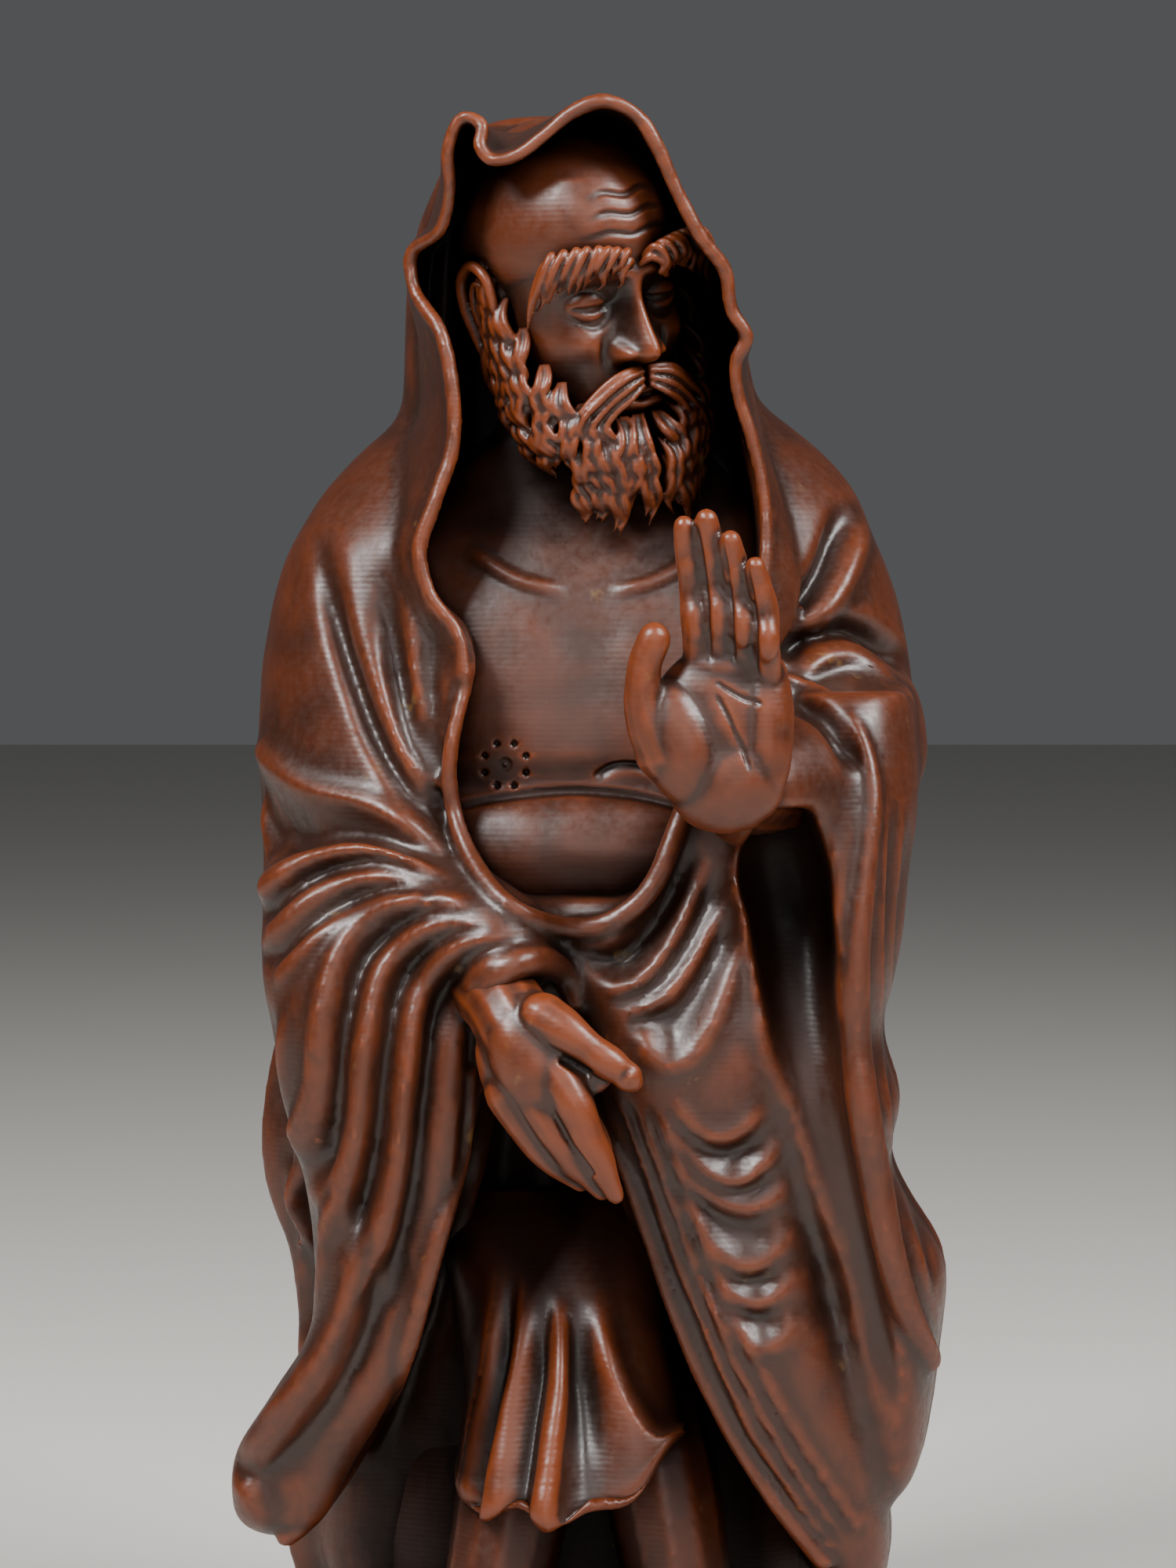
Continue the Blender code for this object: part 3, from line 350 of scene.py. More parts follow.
# From how far in front a line is dropped onto the surface, in millimetres
FAR_OFF = 300.0


def lay(tree, path, count, lift):
    """Points of a path in the front view, (x, z), laid on the surface and lifted off it by lift."""
    points = []
    for x, z in smooth_path(path, count):
        hit = tree.ray_cast(Vector((x * MM, -FAR_OFF * MM, z * MM)), Vector((0, 1, 0)))[0]
        if hit is not None:
            points.append((hit.x / MM, hit.y / MM - lift, hit.z / MM))
    return points


def roll(tree, path, radii, lift):
    """A roll of cloth laid on the surface, as a run for tubes."""
    points = np.array(lay(tree, path, 5 * len(path), lift))
    for _ in range(4):
        points[1:-1] = (points[:-2] + 2 * points[1:-1] + points[2:]) / 4
    return points, radii


def side_of(points, line):
    """Signed distance of each point from a line, below 0 on its left, and how far along it that is."""
    starts, ends = line[:-1], line[1:]
    way = ends - starts
    length = np.linalg.norm(way, axis=1)
    gone = np.concatenate([[0.0], np.cumsum(length)])
    best = np.full(len(points), 1e9)
    side = np.zeros(len(points))
    share = np.zeros(len(points))
    for k in range(len(starts)):
        off = points - starts[k]
        u = np.clip(off @ way[k] / max(length[k] ** 2, 1e-12), 0, 1)
        distance = np.linalg.norm(off - u[:, None] * way[k], axis=1)
        turn = way[k][0] * off[:, 1] - way[k][1] * off[:, 0]
        better = distance < best
        best[better] = distance[better]
        side[better] = np.where(turn > 0, -1, 1)[better] * distance[better]
        share[better] = ((gone[k] + u * length[k]) / gone[-1])[better]
    return side, share


def read_vectors(mesh, what):
    values = np.empty(len(mesh.vertices) * 3, np.float32)
    mesh.vertices.foreach_get(what, values)
    return values.reshape(-1, 3).astype(float)


def write_points(mesh, co):
    mesh.vertices.foreach_set("co", (co * MM).astype(np.float32).ravel())
    mesh.update()


def facing_points(mesh, view, low, high, reach=None):
    """The points seen in a view within low and high: places, normals, numbers and how far they face it."""
    a, b, c, sign = VIEWS[view]
    co = read_vectors(mesh, "co") / MM
    normal = read_vectors(mesh, "normal")
    flat = co[:, (a, b)]
    inside = np.all((flat > low) & (flat < high), axis=1) & (normal[:, c] * sign > 0.02)
    if reach:
        inside &= (co[:, c] > reach[0]) & (co[:, c] < reach[1])
    chosen = np.nonzero(inside)[0]
    facing = np.clip((normal[chosen, c] * sign - 0.02) / 0.35, 0, 1)
    return co, normal[chosen], chosen, flat[chosen], facing


def pleat(obj, view, crests, depth, lean=0.5, scoop=0.5, fade=(0.15, 0.15), margin=3.0, reach=None):
    """Cuts a valley between each crest and the next, and raises the crests a little.

    lean is where the valley lies from one crest to the next. scoop is 1 for a wide hollow between sharp
    crests, 0 for a soft wave and -1 for narrow valleys between fat crests. fade is the share of a crest's
    length over which it dies at each end. margin is how far the outer crests spread, and reach limits the
    cut to a range along the view's depth.
    """
    lines = [smooth_path(path, 6 * len(path)) for path in crests]
    low = np.min([line.min(0) for line in lines], axis=0) - margin
    high = np.max([line.max(0) for line in lines], axis=0) + margin
    co, normal, chosen, flat, facing = facing_points(obj.data, view, low, high, reach)
    measured = [side_of(flat, line) for line in lines]
    sides = np.array([m[0] for m in measured])
    shares = np.array([m[1] for m in measured])
    if np.mean(side_of(lines[1], lines[0])[0]) < 0:
        sides = -sides
    shift = np.zeros(len(chosen))
    for k in range(len(lines) - 1):
        here = (sides[k] >= 0) & (sides[k + 1] < 0)
        before, after = sides[k][here], -sides[k + 1][here]
        room = before + after
        phase = before / np.maximum(room, 1e-6)
        q = np.where(phase < lean, phase / lean, (1 - phase) / (1 - lean))
        soft = ((1 - np.cos(math.pi * q)) / 2) ** (1 + 1.6 * max(0.0, -scoop))
        hollow = max(0.0, scoop)
        wave = (1 - hollow) * soft + hollow * np.sin(math.pi / 2 * q)
        ends = end_fade((shares[k][here] + shares[k + 1][here]) / 2, fade)
        uneven = depth * (1 + 0.22 * math.sin(2.3 * k + 1))
        shift[here] = np.minimum(uneven, 0.6 * room) * (0.28 - wave) * ends
    for outer, out in ((0, sides[0] < 0), (-1, sides[-1] >= 0)):
        away = np.abs(sides[outer][out]) / margin
        shift[out] = 0.28 * depth * (1 - smooth_step(away)) * end_fade(shares[outer][out], fade)
    co[chosen] += normal * (shift * facing)[:, None]
    write_points(obj.data, co)


def groove(obj, view, path, height, left, right=None, fade=(0.15, 0.15)):
    """Raises or, with a height below 0, cuts one line, as wide to its left and right as said."""
    right = left if right is None else right
    line = smooth_path(path, 6 * len(path))
    edge = max(left, right)
    low, high = line.min(0) - edge, line.max(0) + edge
    co, normal, chosen, flat, facing = facing_points(obj.data, view, low, high)
    side, share = side_of(flat, line)
    width = np.where(side < 0, left, right)
    bump = 0.5 + 0.5 * np.cos(math.pi * np.clip(np.abs(side) / width, 0, 1))
    co[chosen] += normal * (height * bump * end_fade(share, fade) * facing)[:, None]
    write_points(obj.data, co)


def dimple(obj, view, centre, radius, height):
    """Raises or cuts a round spot."""
    low, high = np.array(centre) - radius, np.array(centre) + radius
    co, normal, chosen, flat, facing = facing_points(obj.data, view, low, high)
    away = np.linalg.norm(flat - np.array(centre), axis=1) / radius
    bump = 1 - smooth_step(away)
    co[chosen] += normal * (height * bump * facing)[:, None]
    write_points(obj.data, co)


def unevenness(obj, height, size):
    """The slight waviness that a hand-held knife leaves, height and size in millimetres."""
    co = read_vectors(obj.data, "co") / MM
    normal = read_vectors(obj.data, "normal")
    wave = np.array([noise.noise(Vector(point)) for point in co / size])
    write_points(obj.data, co + normal * (height * wave)[:, None])


# The robe

# The edge of the robe round the head, the chest and the belly, from the top of the hood down the near side
OPENING = [
    (-14, 204), (-16.5, 198), (-17.5, 189), (-17, 179), (-16.8, 171), (-19.6, 161.5), (-21.4, 155.5),
    (-19.4, 149.6), (-15.4, 146), (-14.2, 142), (-15.8, 135), (-17, 128), (-16, 121.5), (-12.6, 115),
    (-6.5, 110.4), (1, 109), (6.6, 112.6), (10.5, 121), (16, 137), (22, 155), (20.5, 167), (18, 176),
    (17.6, 184), (14, 191), (10.6, 199), (6, 206.5), (0, 208.6), (-6, 206),
]
LAPEL = slice(6, 19)
# The hood's edge in front, and the line far back on the hood from which the cloth runs to it
HOOD_EDGE = [
    (-15.6, -23.4, 140), (-16.4, -22.8, 145), (-20, -21.6, 150), (-21.4, -21, 155.5), (-19.4, -20.5, 162),
    (-17.2, -19.5, 169), (-17.2, -19, 176), (-18.6, -18, 183), (-22.6, -13.5, 190.4), (-22.8, -13.5, 193.2),
    (-18.6, -19, 196.6), (-17.4, -21.5, 201.5), (-17.6, -23, 206.6), (-15.6, -24, 210.2),
    (-13.2, -24.5, 209.2), (-13.6, -25, 206.4), (-12.2, -25.5, 204.6), (-9.6, -25.7, 204.9),
    (-5.6, -25.7, 207.6), (-2, -25.5, 210.6), (2, -25.5, 212), (6, -25, 210.4), (8.6, -24.5, 206.6),
    (11, -23.5, 201.4), (14.4, -22.5, 195), (17.4, -21, 191), (18.2, -20.5, 186), (20.2, -20, 182.8),
    (18.8, -19.5, 180), (19, -19, 176), (20.6, -18.5, 171), (22.2, -18.5, 164), (22.6, -19.5, 156),
    (21.4, -21.2, 148), (18.6, -23.2, 139),
]
HOOD_LINE = [
    (-17.0, -21.4, 140), (-19.4, -17.6, 145), (-24.4, -12.6, 150), (-26.4, -9.4, 155.5), (-25.4, -6, 162),
    (-23.6, -3, 169), (-21.8, 4, 175), (-21.4, 4, 182), (-20.8, 4, 189), (-20.4, 4, 193), (-19.7, 4, 197.4),
    (-18.7, 4, 201), (-17, 4, 205), (-15.1, 4, 207.6), (-13.4, 4, 209), (-11.8, 4, 209.8), (-9.9, 4, 210.4),
    (-7.6, 4, 210.8), (-5.3, 4, 210.8), (-2.9, 4, 210.4), (-0.4, 4, 209.8), (2.3, 4, 208.6),
    (5.7, 4, 206.4), (9, 4, 202.6), (12.2, 4, 197.8), (14.9, 4, 192.6), (16.6, 4, 187.6), (18, 4, 183),
    (18.9, 4, 179), (20.6, -1, 175), (21.4, -3, 170), (24, -9, 163), (26.4, -14, 156), (26.4, -16.4, 148),
    (20.4, -23, 139),
]
HOOD_WALL = 1.5


def sheet(name, edge, line, wall, bulge):
    """A thin wall of cloth between two lines that have as many points, bulged outwards between them."""
    rows = smooth_path([(*a, *b) for a, b in zip(edge, line)], 220)
    middle = rows.reshape(-1, 2, 3).mean(axis=(0, 1))
    steps = np.linspace(0, 1, 16)
    points = []
    for row in rows:
        first, last = row[:3], row[3:]
        out = (first + last) / 2 - middle
        out[1] = 0
        out /= np.linalg.norm(out)
        for t in steps:
            points.append((first + (last - first) * t + out * bulge * math.sin(math.pi * t)) * MM)
    faces = []
    for i in range(len(rows) - 1):
        for j in range(len(steps) - 1):
            k = i * len(steps) + j
            faces.append((k, k + 1, k + len(steps) + 1, k + len(steps)))
    mesh = bpy.data.meshes.new(name)
    mesh.from_pydata(points, [], faces)
    return apply(link(name, mesh), "SOLIDIFY", thickness=wall * MM, offset=0)


def cloak_and_hood():
    cloak = loft("cloak", [
        (13, -37, 36, -6, 26), (22, -40.5, 37.5, -6, 27), (32, -39.5, 38, -6.5, 27.5),
        (40, -39, 40, -7, 28), (54, -38.8, 41, -8, 30), (62, -40, 41.5, -8, 30), (68, -42.4, 41, -9, 30.5),
        (76, -43.8, 39.5, -11, 31), (86, -42.6, 39, -14, 31), (96, -40.6, 38.4, -24, 31),
        (104, -41.6, 38.6, -27, 31), (116, -43, 40, -28.5, 31), (130, -43.6, 43, -25.5, 30),
        (145, -42.5, 42, -22, 28), (158, -38.5, 37.8, -19, 25), (167, -32, 33, -12, 22),
        (173, -25, 26, -6, 19), (178, -16, 18, -2, 14),
    ])
    hood = loft("hood", [
        (150, -25, 24, -8, 22), (160, -25.5, 24.4, -8, 23), (170, -25, 23, -7, 23),
        (183, -24.4, 21, -6, 23), (190, -24.2, 19, -5, 22.5), (197, -23, 15.4, -5, 21),
        (203, -20.8, 12, -6, 18), (208, -18, 8.4, -6, 14), (211, -15.5, 4.5, -6, 9), (212.4, -11, 1, -5, 4),
    ], power=3.0)
    return [cloak, hood]


def sleeves_and_drapes():
    near_sleeve = loft("near_sleeve", [
        (122, -41, -22, -18, 4), (112, -42, -14, -28, 2), (100, -41.5, -12.5, -33, 0),
        (85, -38.5, -14, -34, -4), (70, -35.5, -17.5, -33, -6), (55, -36, -22, -32, -8),
        (46, -41.5, -26, -31, -8), (40, -45.4, -29.5, -29, -8), (34, -46, -33, -26, -10),
        (30, -44.4, -36, -22, -13), (28.5, -41.4, -38, -19, -15),
    ], power=2.6)
    far_sleeve = loft("far_sleeve", [
        (138, 24, 42, -28, 6), (125, 18, 42.5, -35, 8), (112, 16.4, 40.8, -37, 8),
        (104, 18.6, 40, -36.5, 8), (94, 20.6, 37.8, -36, 8), (84, 24, 40.2, -35.5, 8),
        (79, 25.6, 38.8, -35, 8), (72, 27.6, 41.4, -34, 8), (65, 29.4, 45.7, -32, 8),
        (54, 31.6, 45.5, -30, 8), (44, 34, 44.2, -28, 8), (37, 36.5, 42.6, -25, 6), (34.4, 38, 41, -22, 2),
    ])
    drape = loft("drape", [
        (112, -10, 22, -28, 0), (104, -7, 24, -30, 0), (96, -2, 26, -31.5, 0), (84, 2, 27, -32, 0),
        (72, 6.5, 29, -31, 0), (60, 10.5, 31, -31, 0), (48, 15.5, 35, -30, 0), (36, 22, 38, -28, 0),
        (26, 28, 39, -25, 0), (21, 31, 38, -22, 0),
    ], power=3.2)
    near_arm = tube("near_arm", [(-32, -2, 130), (-31.5, -8, 119), (-23, -20, 110), (-12, -29, 106)],
                    [10, 11.5, 12, 8])
    far_arm = tube("far_arm", [(31, 0, 139), (33, -10, 131), (28, -25, 127), (21, -35, 126)],
                   [10, 11.5, 11, 8])
    return [near_sleeve, far_sleeve, drape, near_arm, far_arm]


def sleeve_mouth():
    """The deep slot that a hanging sleeve opens towards the front."""
    return loft("sleeve_mouth", [
        (124, 22, 27.6, -46, -30), (118, 18.8, 29.6, -46, -24), (109, 20, 30.6, -46, -22),
        (100, 21.4, 31, -46, -25.4), (90, 23, 32, -46, -29), (78, 26.8, 34, -46, -30),
        (66, 30.4, 36.8, -44, -29), (57, 33.4, 38.8, -42, -28), (46, 36.4, 41, -40, -28.4),
    ], power=3.0)


def void_below_hand():
    """The dark hollow between the near sleeve and the drape, above the under robe."""
    return loft("void", [
        (95, -10, -5, -34, -14), (90, -12.4, -1.6, -34, -8), (84, -13.4, 1, -34, -5.4),
        (76, -15, 4, -34, -4.6), (68, -17, 7, -34, -4.6), (61, -18, 9.4, -34, -5.4), (57, -14, 6, -30, -9),
    ], power=3.0)


# Guide lines of the folds, in the front view
SHOULDER_VALLEYS = [
    [(-35.5, 160), (-33.1, 147.3), (-30.7, 139.7), (-26.9, 130.6), (-18.3, 118.6)],
    [(-27, 157), (-25.6, 145), (-24.5, 138.7), (-22.1, 130), (-17.4, 117.4)],
    [(-21, 149), (-20.8, 140), (-20, 131), (-16.4, 115.8)],
]
ELBOW = ([(-43.6, 130.6), (-36, 125), (-28, 123), (-19.6, 118.4)],
         [(-43.6, 111), (-36, 116.6), (-27, 118.2), (-17, 114.4)])
BELOW_ELBOW = ([(-43.6, 111), (-36, 116.6), (-27, 118.2), (-17, 114.4)],
               [(-40, 101), (-32.4, 108.4), (-24.9, 111.6), (-14.6, 110.8)])
SLEEVE = ([(-14.2, 110.9), (-22, 111.8), (-29.6, 107.6), (-33.2, 98.2), (-34.7, 87), (-38.5, 78)],
          [(-7.6, 106.6), (-12.2, 105), (-15.8, 99), (-17.6, 86), (-19.2, 72), (-22.6, 58)])
DROP = ([(-28.4, 70), (-31.4, 58), (-37.4, 49), (-46, 42.4)],
        [(-19, 70), (-24, 51.4), (-31, 36.4), (-39.6, 29)])
OUTER_DROP = ([(-40, 74), (-39, 62), (-38.4, 52)], [(-33, 76), (-34, 63), (-38, 51)])
BACK_LOOP = ([(-45, 99), (-45, 84), (-43.5, 69)], [(-38.5, 99), (-38.6, 86), (-37.5, 73)])
UPPER_SWAGS = ([(-4.3, 108), (-1.3, 102.8), (1.6, 99.2), (6.8, 94.6)],
               [(12.6, 121.6), (15.8, 118), (17.8, 114), (19.4, 108)])
LOWER_SWAGS = ([(9.8, 87), (10.6, 82), (11.6, 74), (15, 62.6)],
               [(23, 86.6), (24.6, 80), (25.8, 71), (26, 58)])
BAND = ([(0.6, 88), (6.2, 74), (12, 57.3), (20, 40.5), (30, 27)],
        [(8.6, 86), (14.4, 69), (20.4, 54.6), (27.4, 42), (34.4, 31)])
CUFF = [(-14.4, 88), (-14.4, 95), (-12.2, 101.6), (-7.4, 105), (-3, 102.8), (-1.6, 99.4)]
NEAR_SLEEVE_EDGE = [(-15.2, 90), (-15.8, 80), (-18.8, 69.8), (-24, 51.4), (-31, 36.4), (-38.6, 29.6)]
FAR_CREASE = [(24.6, 142), (29.8, 145.2), (34.8, 145.4), (38.9, 143.2), (43, 139)]
FAR_CUFF = [(24.6, 139.6), (30.2, 138), (33.8, 133.7), (35.4, 127), (34.6, 117), (33.3, 104), (33.8, 90),
            (36.2, 76), (39.4, 62), (43.4, 53)]
FAR_CUFF_GAP = [(24.6, 137.6), (29, 136), (32, 132.4), (34, 127.6)]
FAR_VALLEY = [(33.2, 163), (31.8, 156.4), (28.8, 150.8), (24.8, 146.8)]
FAR_SIDE = ([(37.4, 128), (36.8, 104), (38.6, 80), (44, 60)], [(42, 122), (40, 102), (43, 82), (47.4, 66)])


def cloth_rolls(tree):
    """The turned edges of the cloth: round the opening, both cuffs and the mouths of the sleeves."""
    return tubes("cloth_rolls", [
        roll(tree, outside(OPENING[LAPEL], 0.7), [0.9, 1.0, 1.2, 1.4, 1.4, 1.2], 0.7),
        roll(tree, CUFF, [1.4, 1.9, 2.1, 1.5], 0.3),
        roll(tree, NEAR_SLEEVE_EDGE, [1.3, 1.4, 1.5], 0.2),
        roll(tree, FAR_CUFF, [0.7, 1.0, 1.4, 1.8, 2.1, 2.2, 2.0, 1.7], -0.1),
        roll(tree, BAND[0], [1.0, 1.3, 1.4, 1.3], 0.3),
    ])


def cut_front_folds(robe):
    """Families of folds. Each is spread between a first and a last guide line in the front view."""
    for path in SHOULDER_VALLEYS:
        groove(robe, "front", path, -2.3, 3.6, 1.5, fade=(0.4, 0.12))
        groove(robe, "front", outside(path, -3.4), 0.9, 2.4, fade=(0.4, 0.15))
    pleat(robe, "front", between(*ELBOW, 2), 5.2, lean=0.6, scoop=0.4, fade=(0.05, 0.2))
    pleat(robe, "front", between(*BELOW_ELBOW, 3), 2.8, scoop=-0.3, fade=(0.05, 0.2), margin=1.5)
    pleat(robe, "front", between(*SLEEVE, 4), 5.4, lean=0.56, scoop=-0.5, fade=(0.06, 0.12), margin=2.4)
    pleat(robe, "front", between(*DROP, 2), 4.4, lean=0.45, scoop=0.7, fade=(0.3, 0.03))
    pleat(robe, "front", between(*OUTER_DROP, 2), 3.4, fade=(0.25, 0.1), margin=1.5)
    pleat(robe, "front", between(*BACK_LOOP, 2), 4.5, scoop=0.6, fade=(0.2, 0.15), margin=1.5)
    upper = swags(*UPPER_SWAGS, 4, 7.2, low=0.5)
    pleat(robe, "front", upper, 3.4, lean=0.3, scoop=0.6, fade=(0.05, 0.2), margin=2.0)
    lower = swags(*LOWER_SWAGS, 6, 5.2, low=0.5, crowd=1.2)
    pleat(robe, "front", lower, 2.8, lean=0.3, scoop=0.7, fade=(0.15, 0.25), margin=2.0)
    pleat(robe, "front", between(*BAND, 4), 3.0, scoop=-0.2, fade=(0.05, 0.02), margin=1.5)
    pleat(robe, "front", between(*FAR_SIDE, 3), 2.6, scoop=0.3, fade=(0.15, 0.1), margin=1.5)
    groove(robe, "front", FAR_CREASE, -3.6, 2.4, 1.7, fade=(0.1, 0.25))
    groove(robe, "front", outside(FAR_CREASE, 3.4), 1.2, 1.8, fade=(0.1, 0.3))
    groove(robe, "front", FAR_CUFF_GAP, -2.6, 1.3, 2.4, fade=(0.1, 0.3))
    groove(robe, "front", FAR_VALLEY, -3.0, 2.4, fade=(0.35, 0.1))
    groove(robe, "front", outside(FAR_VALLEY, -3.2), 1.2, 2.2, fade=(0.35, 0.1))


def cut_hidden_folds(robe):
    """The back and the sides, plainer than the front."""
    back = between([(-33, 146), (-29, 96), (-33, 15)], [(33, 146), (29, 96), (33, 15)], 7)
    pleat(robe, "back", back, 3.6, scoop=0.3, fade=(0.4, 0.0))
    cowl = swags([(-21, 190), (-25, 178), (-32, 168)], [(18, 190), (23, 178), (31, 168)], 3, 11.0)
    pleat(robe, "back", cowl, 2.6, lean=0.6, scoop=0.3, fade=(0.15, 0.15))
    for view in ("left", "right"):
        side = between([(-12, 120), (-10, 80), (-12, 8)], [(18, 130), (20, 80), (18, 8)], 4)
        pleat(robe, view, side, 2.8, scoop=0.3, fade=(0.25, 0.0))


def build_robe():
    shell = fuse("shell", cloak_and_hood(), ROUGH_GRID, relax=3)
    cut_away(shell, prism("opening", OPENING, -60, 3))
    filling = loft("filling", [
        (100, -14, 14, -13, 10), (114, -22, 22, -16, 12), (134, -24, 24, -13, 12), (156, -22, 22, -7, 8),
        (166, -16, 16, -2, 6),
    ])
    body = fuse("body", [shell, filling, *sleeves_and_drapes()], ROUGH_GRID, relax=4)
    cut_away(body, sleeve_mouth())
    cut_away(body, void_below_hand())
    folded = fuse("folded", [body], FOLD_GRID, relax=3)
    outer_skin(folded)
    cut_front_folds(folded)
    cut_hidden_folds(folded)
    apply(folded, "SMOOTH", factor=0.5, iterations=5)
    tree = BVHTree.FromObject(folded, bpy.context.evaluated_depsgraph_get())
    hood_front = sheet("hood_front", HOOD_EDGE, HOOD_LINE, HOOD_WALL, 1.0)
    rim = tube("hood_rim", HOOD_EDGE, [0.9, 1.1, 0.95, 0.9, 1.0, 0.95, 0.95, 0.9])
    robe = fuse("robe", [folded, hood_front, rim, cloth_rolls(tree)], ROBE_GRID, relax=5)
    outer_skin(robe)
    unevenness(robe, 0.16, 7.0)
    thin_out(robe, FINE_TRIANGLES)
    return robe


# The chest and belly

DOT_RING = (-10.6, 128.4)
DOT_RING_RADIUS = 2.9
DOTS = 8


def build_chest():
    chest = loft("chest", [
        (98, -12, 14, -13, 6), (104, -16, 18, -18, 8), (109, -20, 21, -21.4, 8), (114, -23, 23, -23, 8),
        (119, -24, 24, -22.8, 8), (122.6, -24, 24, -21, 8), (125, -24, 24, -18.6, 8),
        (130, -24, 24, -18.8, 8), (138, -25, 25, -17.8, 8), (148, -26, 25, -15, 8),
        (156, -25, 24, -11.4, 8), (164, -20, 20, -7.5, 6), (172, -12, 12, -6, 6),
    ], around=120, rings=120, power=2.8)
    chest = fuse("chest", [chest], CHEST_GRID, relax=6)
    belly_top = [(-20, 122.4), (-12, 124.2), (-2, 125.2), (6, 124.6), (16, 122)]
    groove(chest, "front", belly_top, -0.7, 0.7, 1.1, fade=(0.02, 0.1))
    groove(chest, "front", [(0.4, 126.8), (3.6, 128.4), (7.6, 128), (10.4, 126)], -0.7, 0.5, 1.4)
    for side in (-1, 1):
        collar_bone = [(side * 2, 150.4), (side * 8, 151.6), (side * 16, 156)]
        groove(chest, "front", collar_bone, 0.6, 1.6, 1.6, fade=(0.3, 0.2))
    groove(chest, "front", [(0.6, 156), (0.4, 146), (0.2, 136), (0, 127)], -0.9, 8, fade=(0.5, 0.5))
    for k in range(DOTS):
        turn = 2 * math.pi * (k + 0.5) / DOTS
        spot = np.array(DOT_RING) + DOT_RING_RADIUS * np.array((math.cos(turn), math.sin(turn)))
        dimple(chest, "front", spot, 0.6, -1.1)
    dimple(chest, "front", DOT_RING, 1.15, -0.45)
    dimple(chest, "front", DOT_RING, 0.62, 0.75)
    unevenness(chest, 0.12, 5.0)
    thin_out(chest, SOFT_TRIANGLES)
    return chest


# The head


# How high above the head's middle the bare skull starts
SKULL_FROM = 6.4


def head_turn():
    turn = Euler([math.radians(a) for a in (HEAD_PITCH, HEAD_ROLL, HEAD_YAW)]).to_matrix().to_4x4()
    return Matrix.Translation(Vector(HEAD_PLACE) * MM) @ turn


# The plain face: half widths and depths of its level sections, with the eyes at z = 0
FACE_SECTIONS = [
    (16, 9.4, 10.4), (13, 10.8, 12.2), (9.5, 11.6, 13.2), (5, 12, 13.5), (0, 11.9, 12.5), (-5, 11.7, 12.6),
    (-10, 11, 12.8), (-14, 9.6, 12.7), (-18, 7.6, 12.2), (-21, 5.2, 10.8), (-22.4, 3.2, 9),
]
FACE_POWER = 2.35
# Soft swellings and hollows of the face, each with a twin at -x: x, z, height, half width across and up
FACE_SWELLINGS = [
    (5.2, 0.3, -2.1, 2.7, 1.9), (2.5, 0.9, -0.9, 1.1, 1.5), (5.4, 4.4, 1.0, 3.0, 1.1),
    (2.4, 4.0, 0.7, 1.4, 1.0), (7.4, -4.8, 1.3, 2.6, 2.2), (8.4, -10.6, -0.9, 2.2, 3.2),
    (10.6, 5.6, -0.7, 1.8, 3.0), (4.6, 10.6, 0.5, 3.0, 2.6), (2.7, -6.2, 2.5, 0.95, 1.2),
    (4.3, -6.0, -0.7, 0.55, 1.5), (1.2, -7.7, -1.2, 0.5, 0.4), (0.9, -9.4, 0.25, 0.4, 1.1),
    (5.2, -12.6, -0.6, 0.8, 0.9), (2.6, -11.4, 0.65, 2.3, 3.0), (1.6, -18.0, 0.9, 1.9, 2.0),
    (1.4, -15.3, -0.45, 1.9, 0.8),
]
# How far the nose stands out, and its half width, from its root to its foot: z, height, half width
NOSE = [
    (5.5, 0, 2.0), (3.6, 0.9, 1.6), (1.6, 1.6, 1.35), (-1, 2.9, 1.45), (-3.4, 4.3, 1.75), (-5.2, 5.4, 2.1),
    (-6.2, 5.5, 2.1), (-7.0, 4.5, 1.9), (-7.7, 2.4, 1.6), (-8.3, 0.4, 1.2), (-9, 0, 1.0),
]
EYE = (5.15, -0.15)
EYE_RADIUS = 2.75
EYE_DEPTH = 8.75
LID = 0.5


def bump(x, z, at_x, at_z, wide, high):
    return np.exp(-(((x - at_x) / wide) ** 2) - ((z - at_z) / high) ** 2)


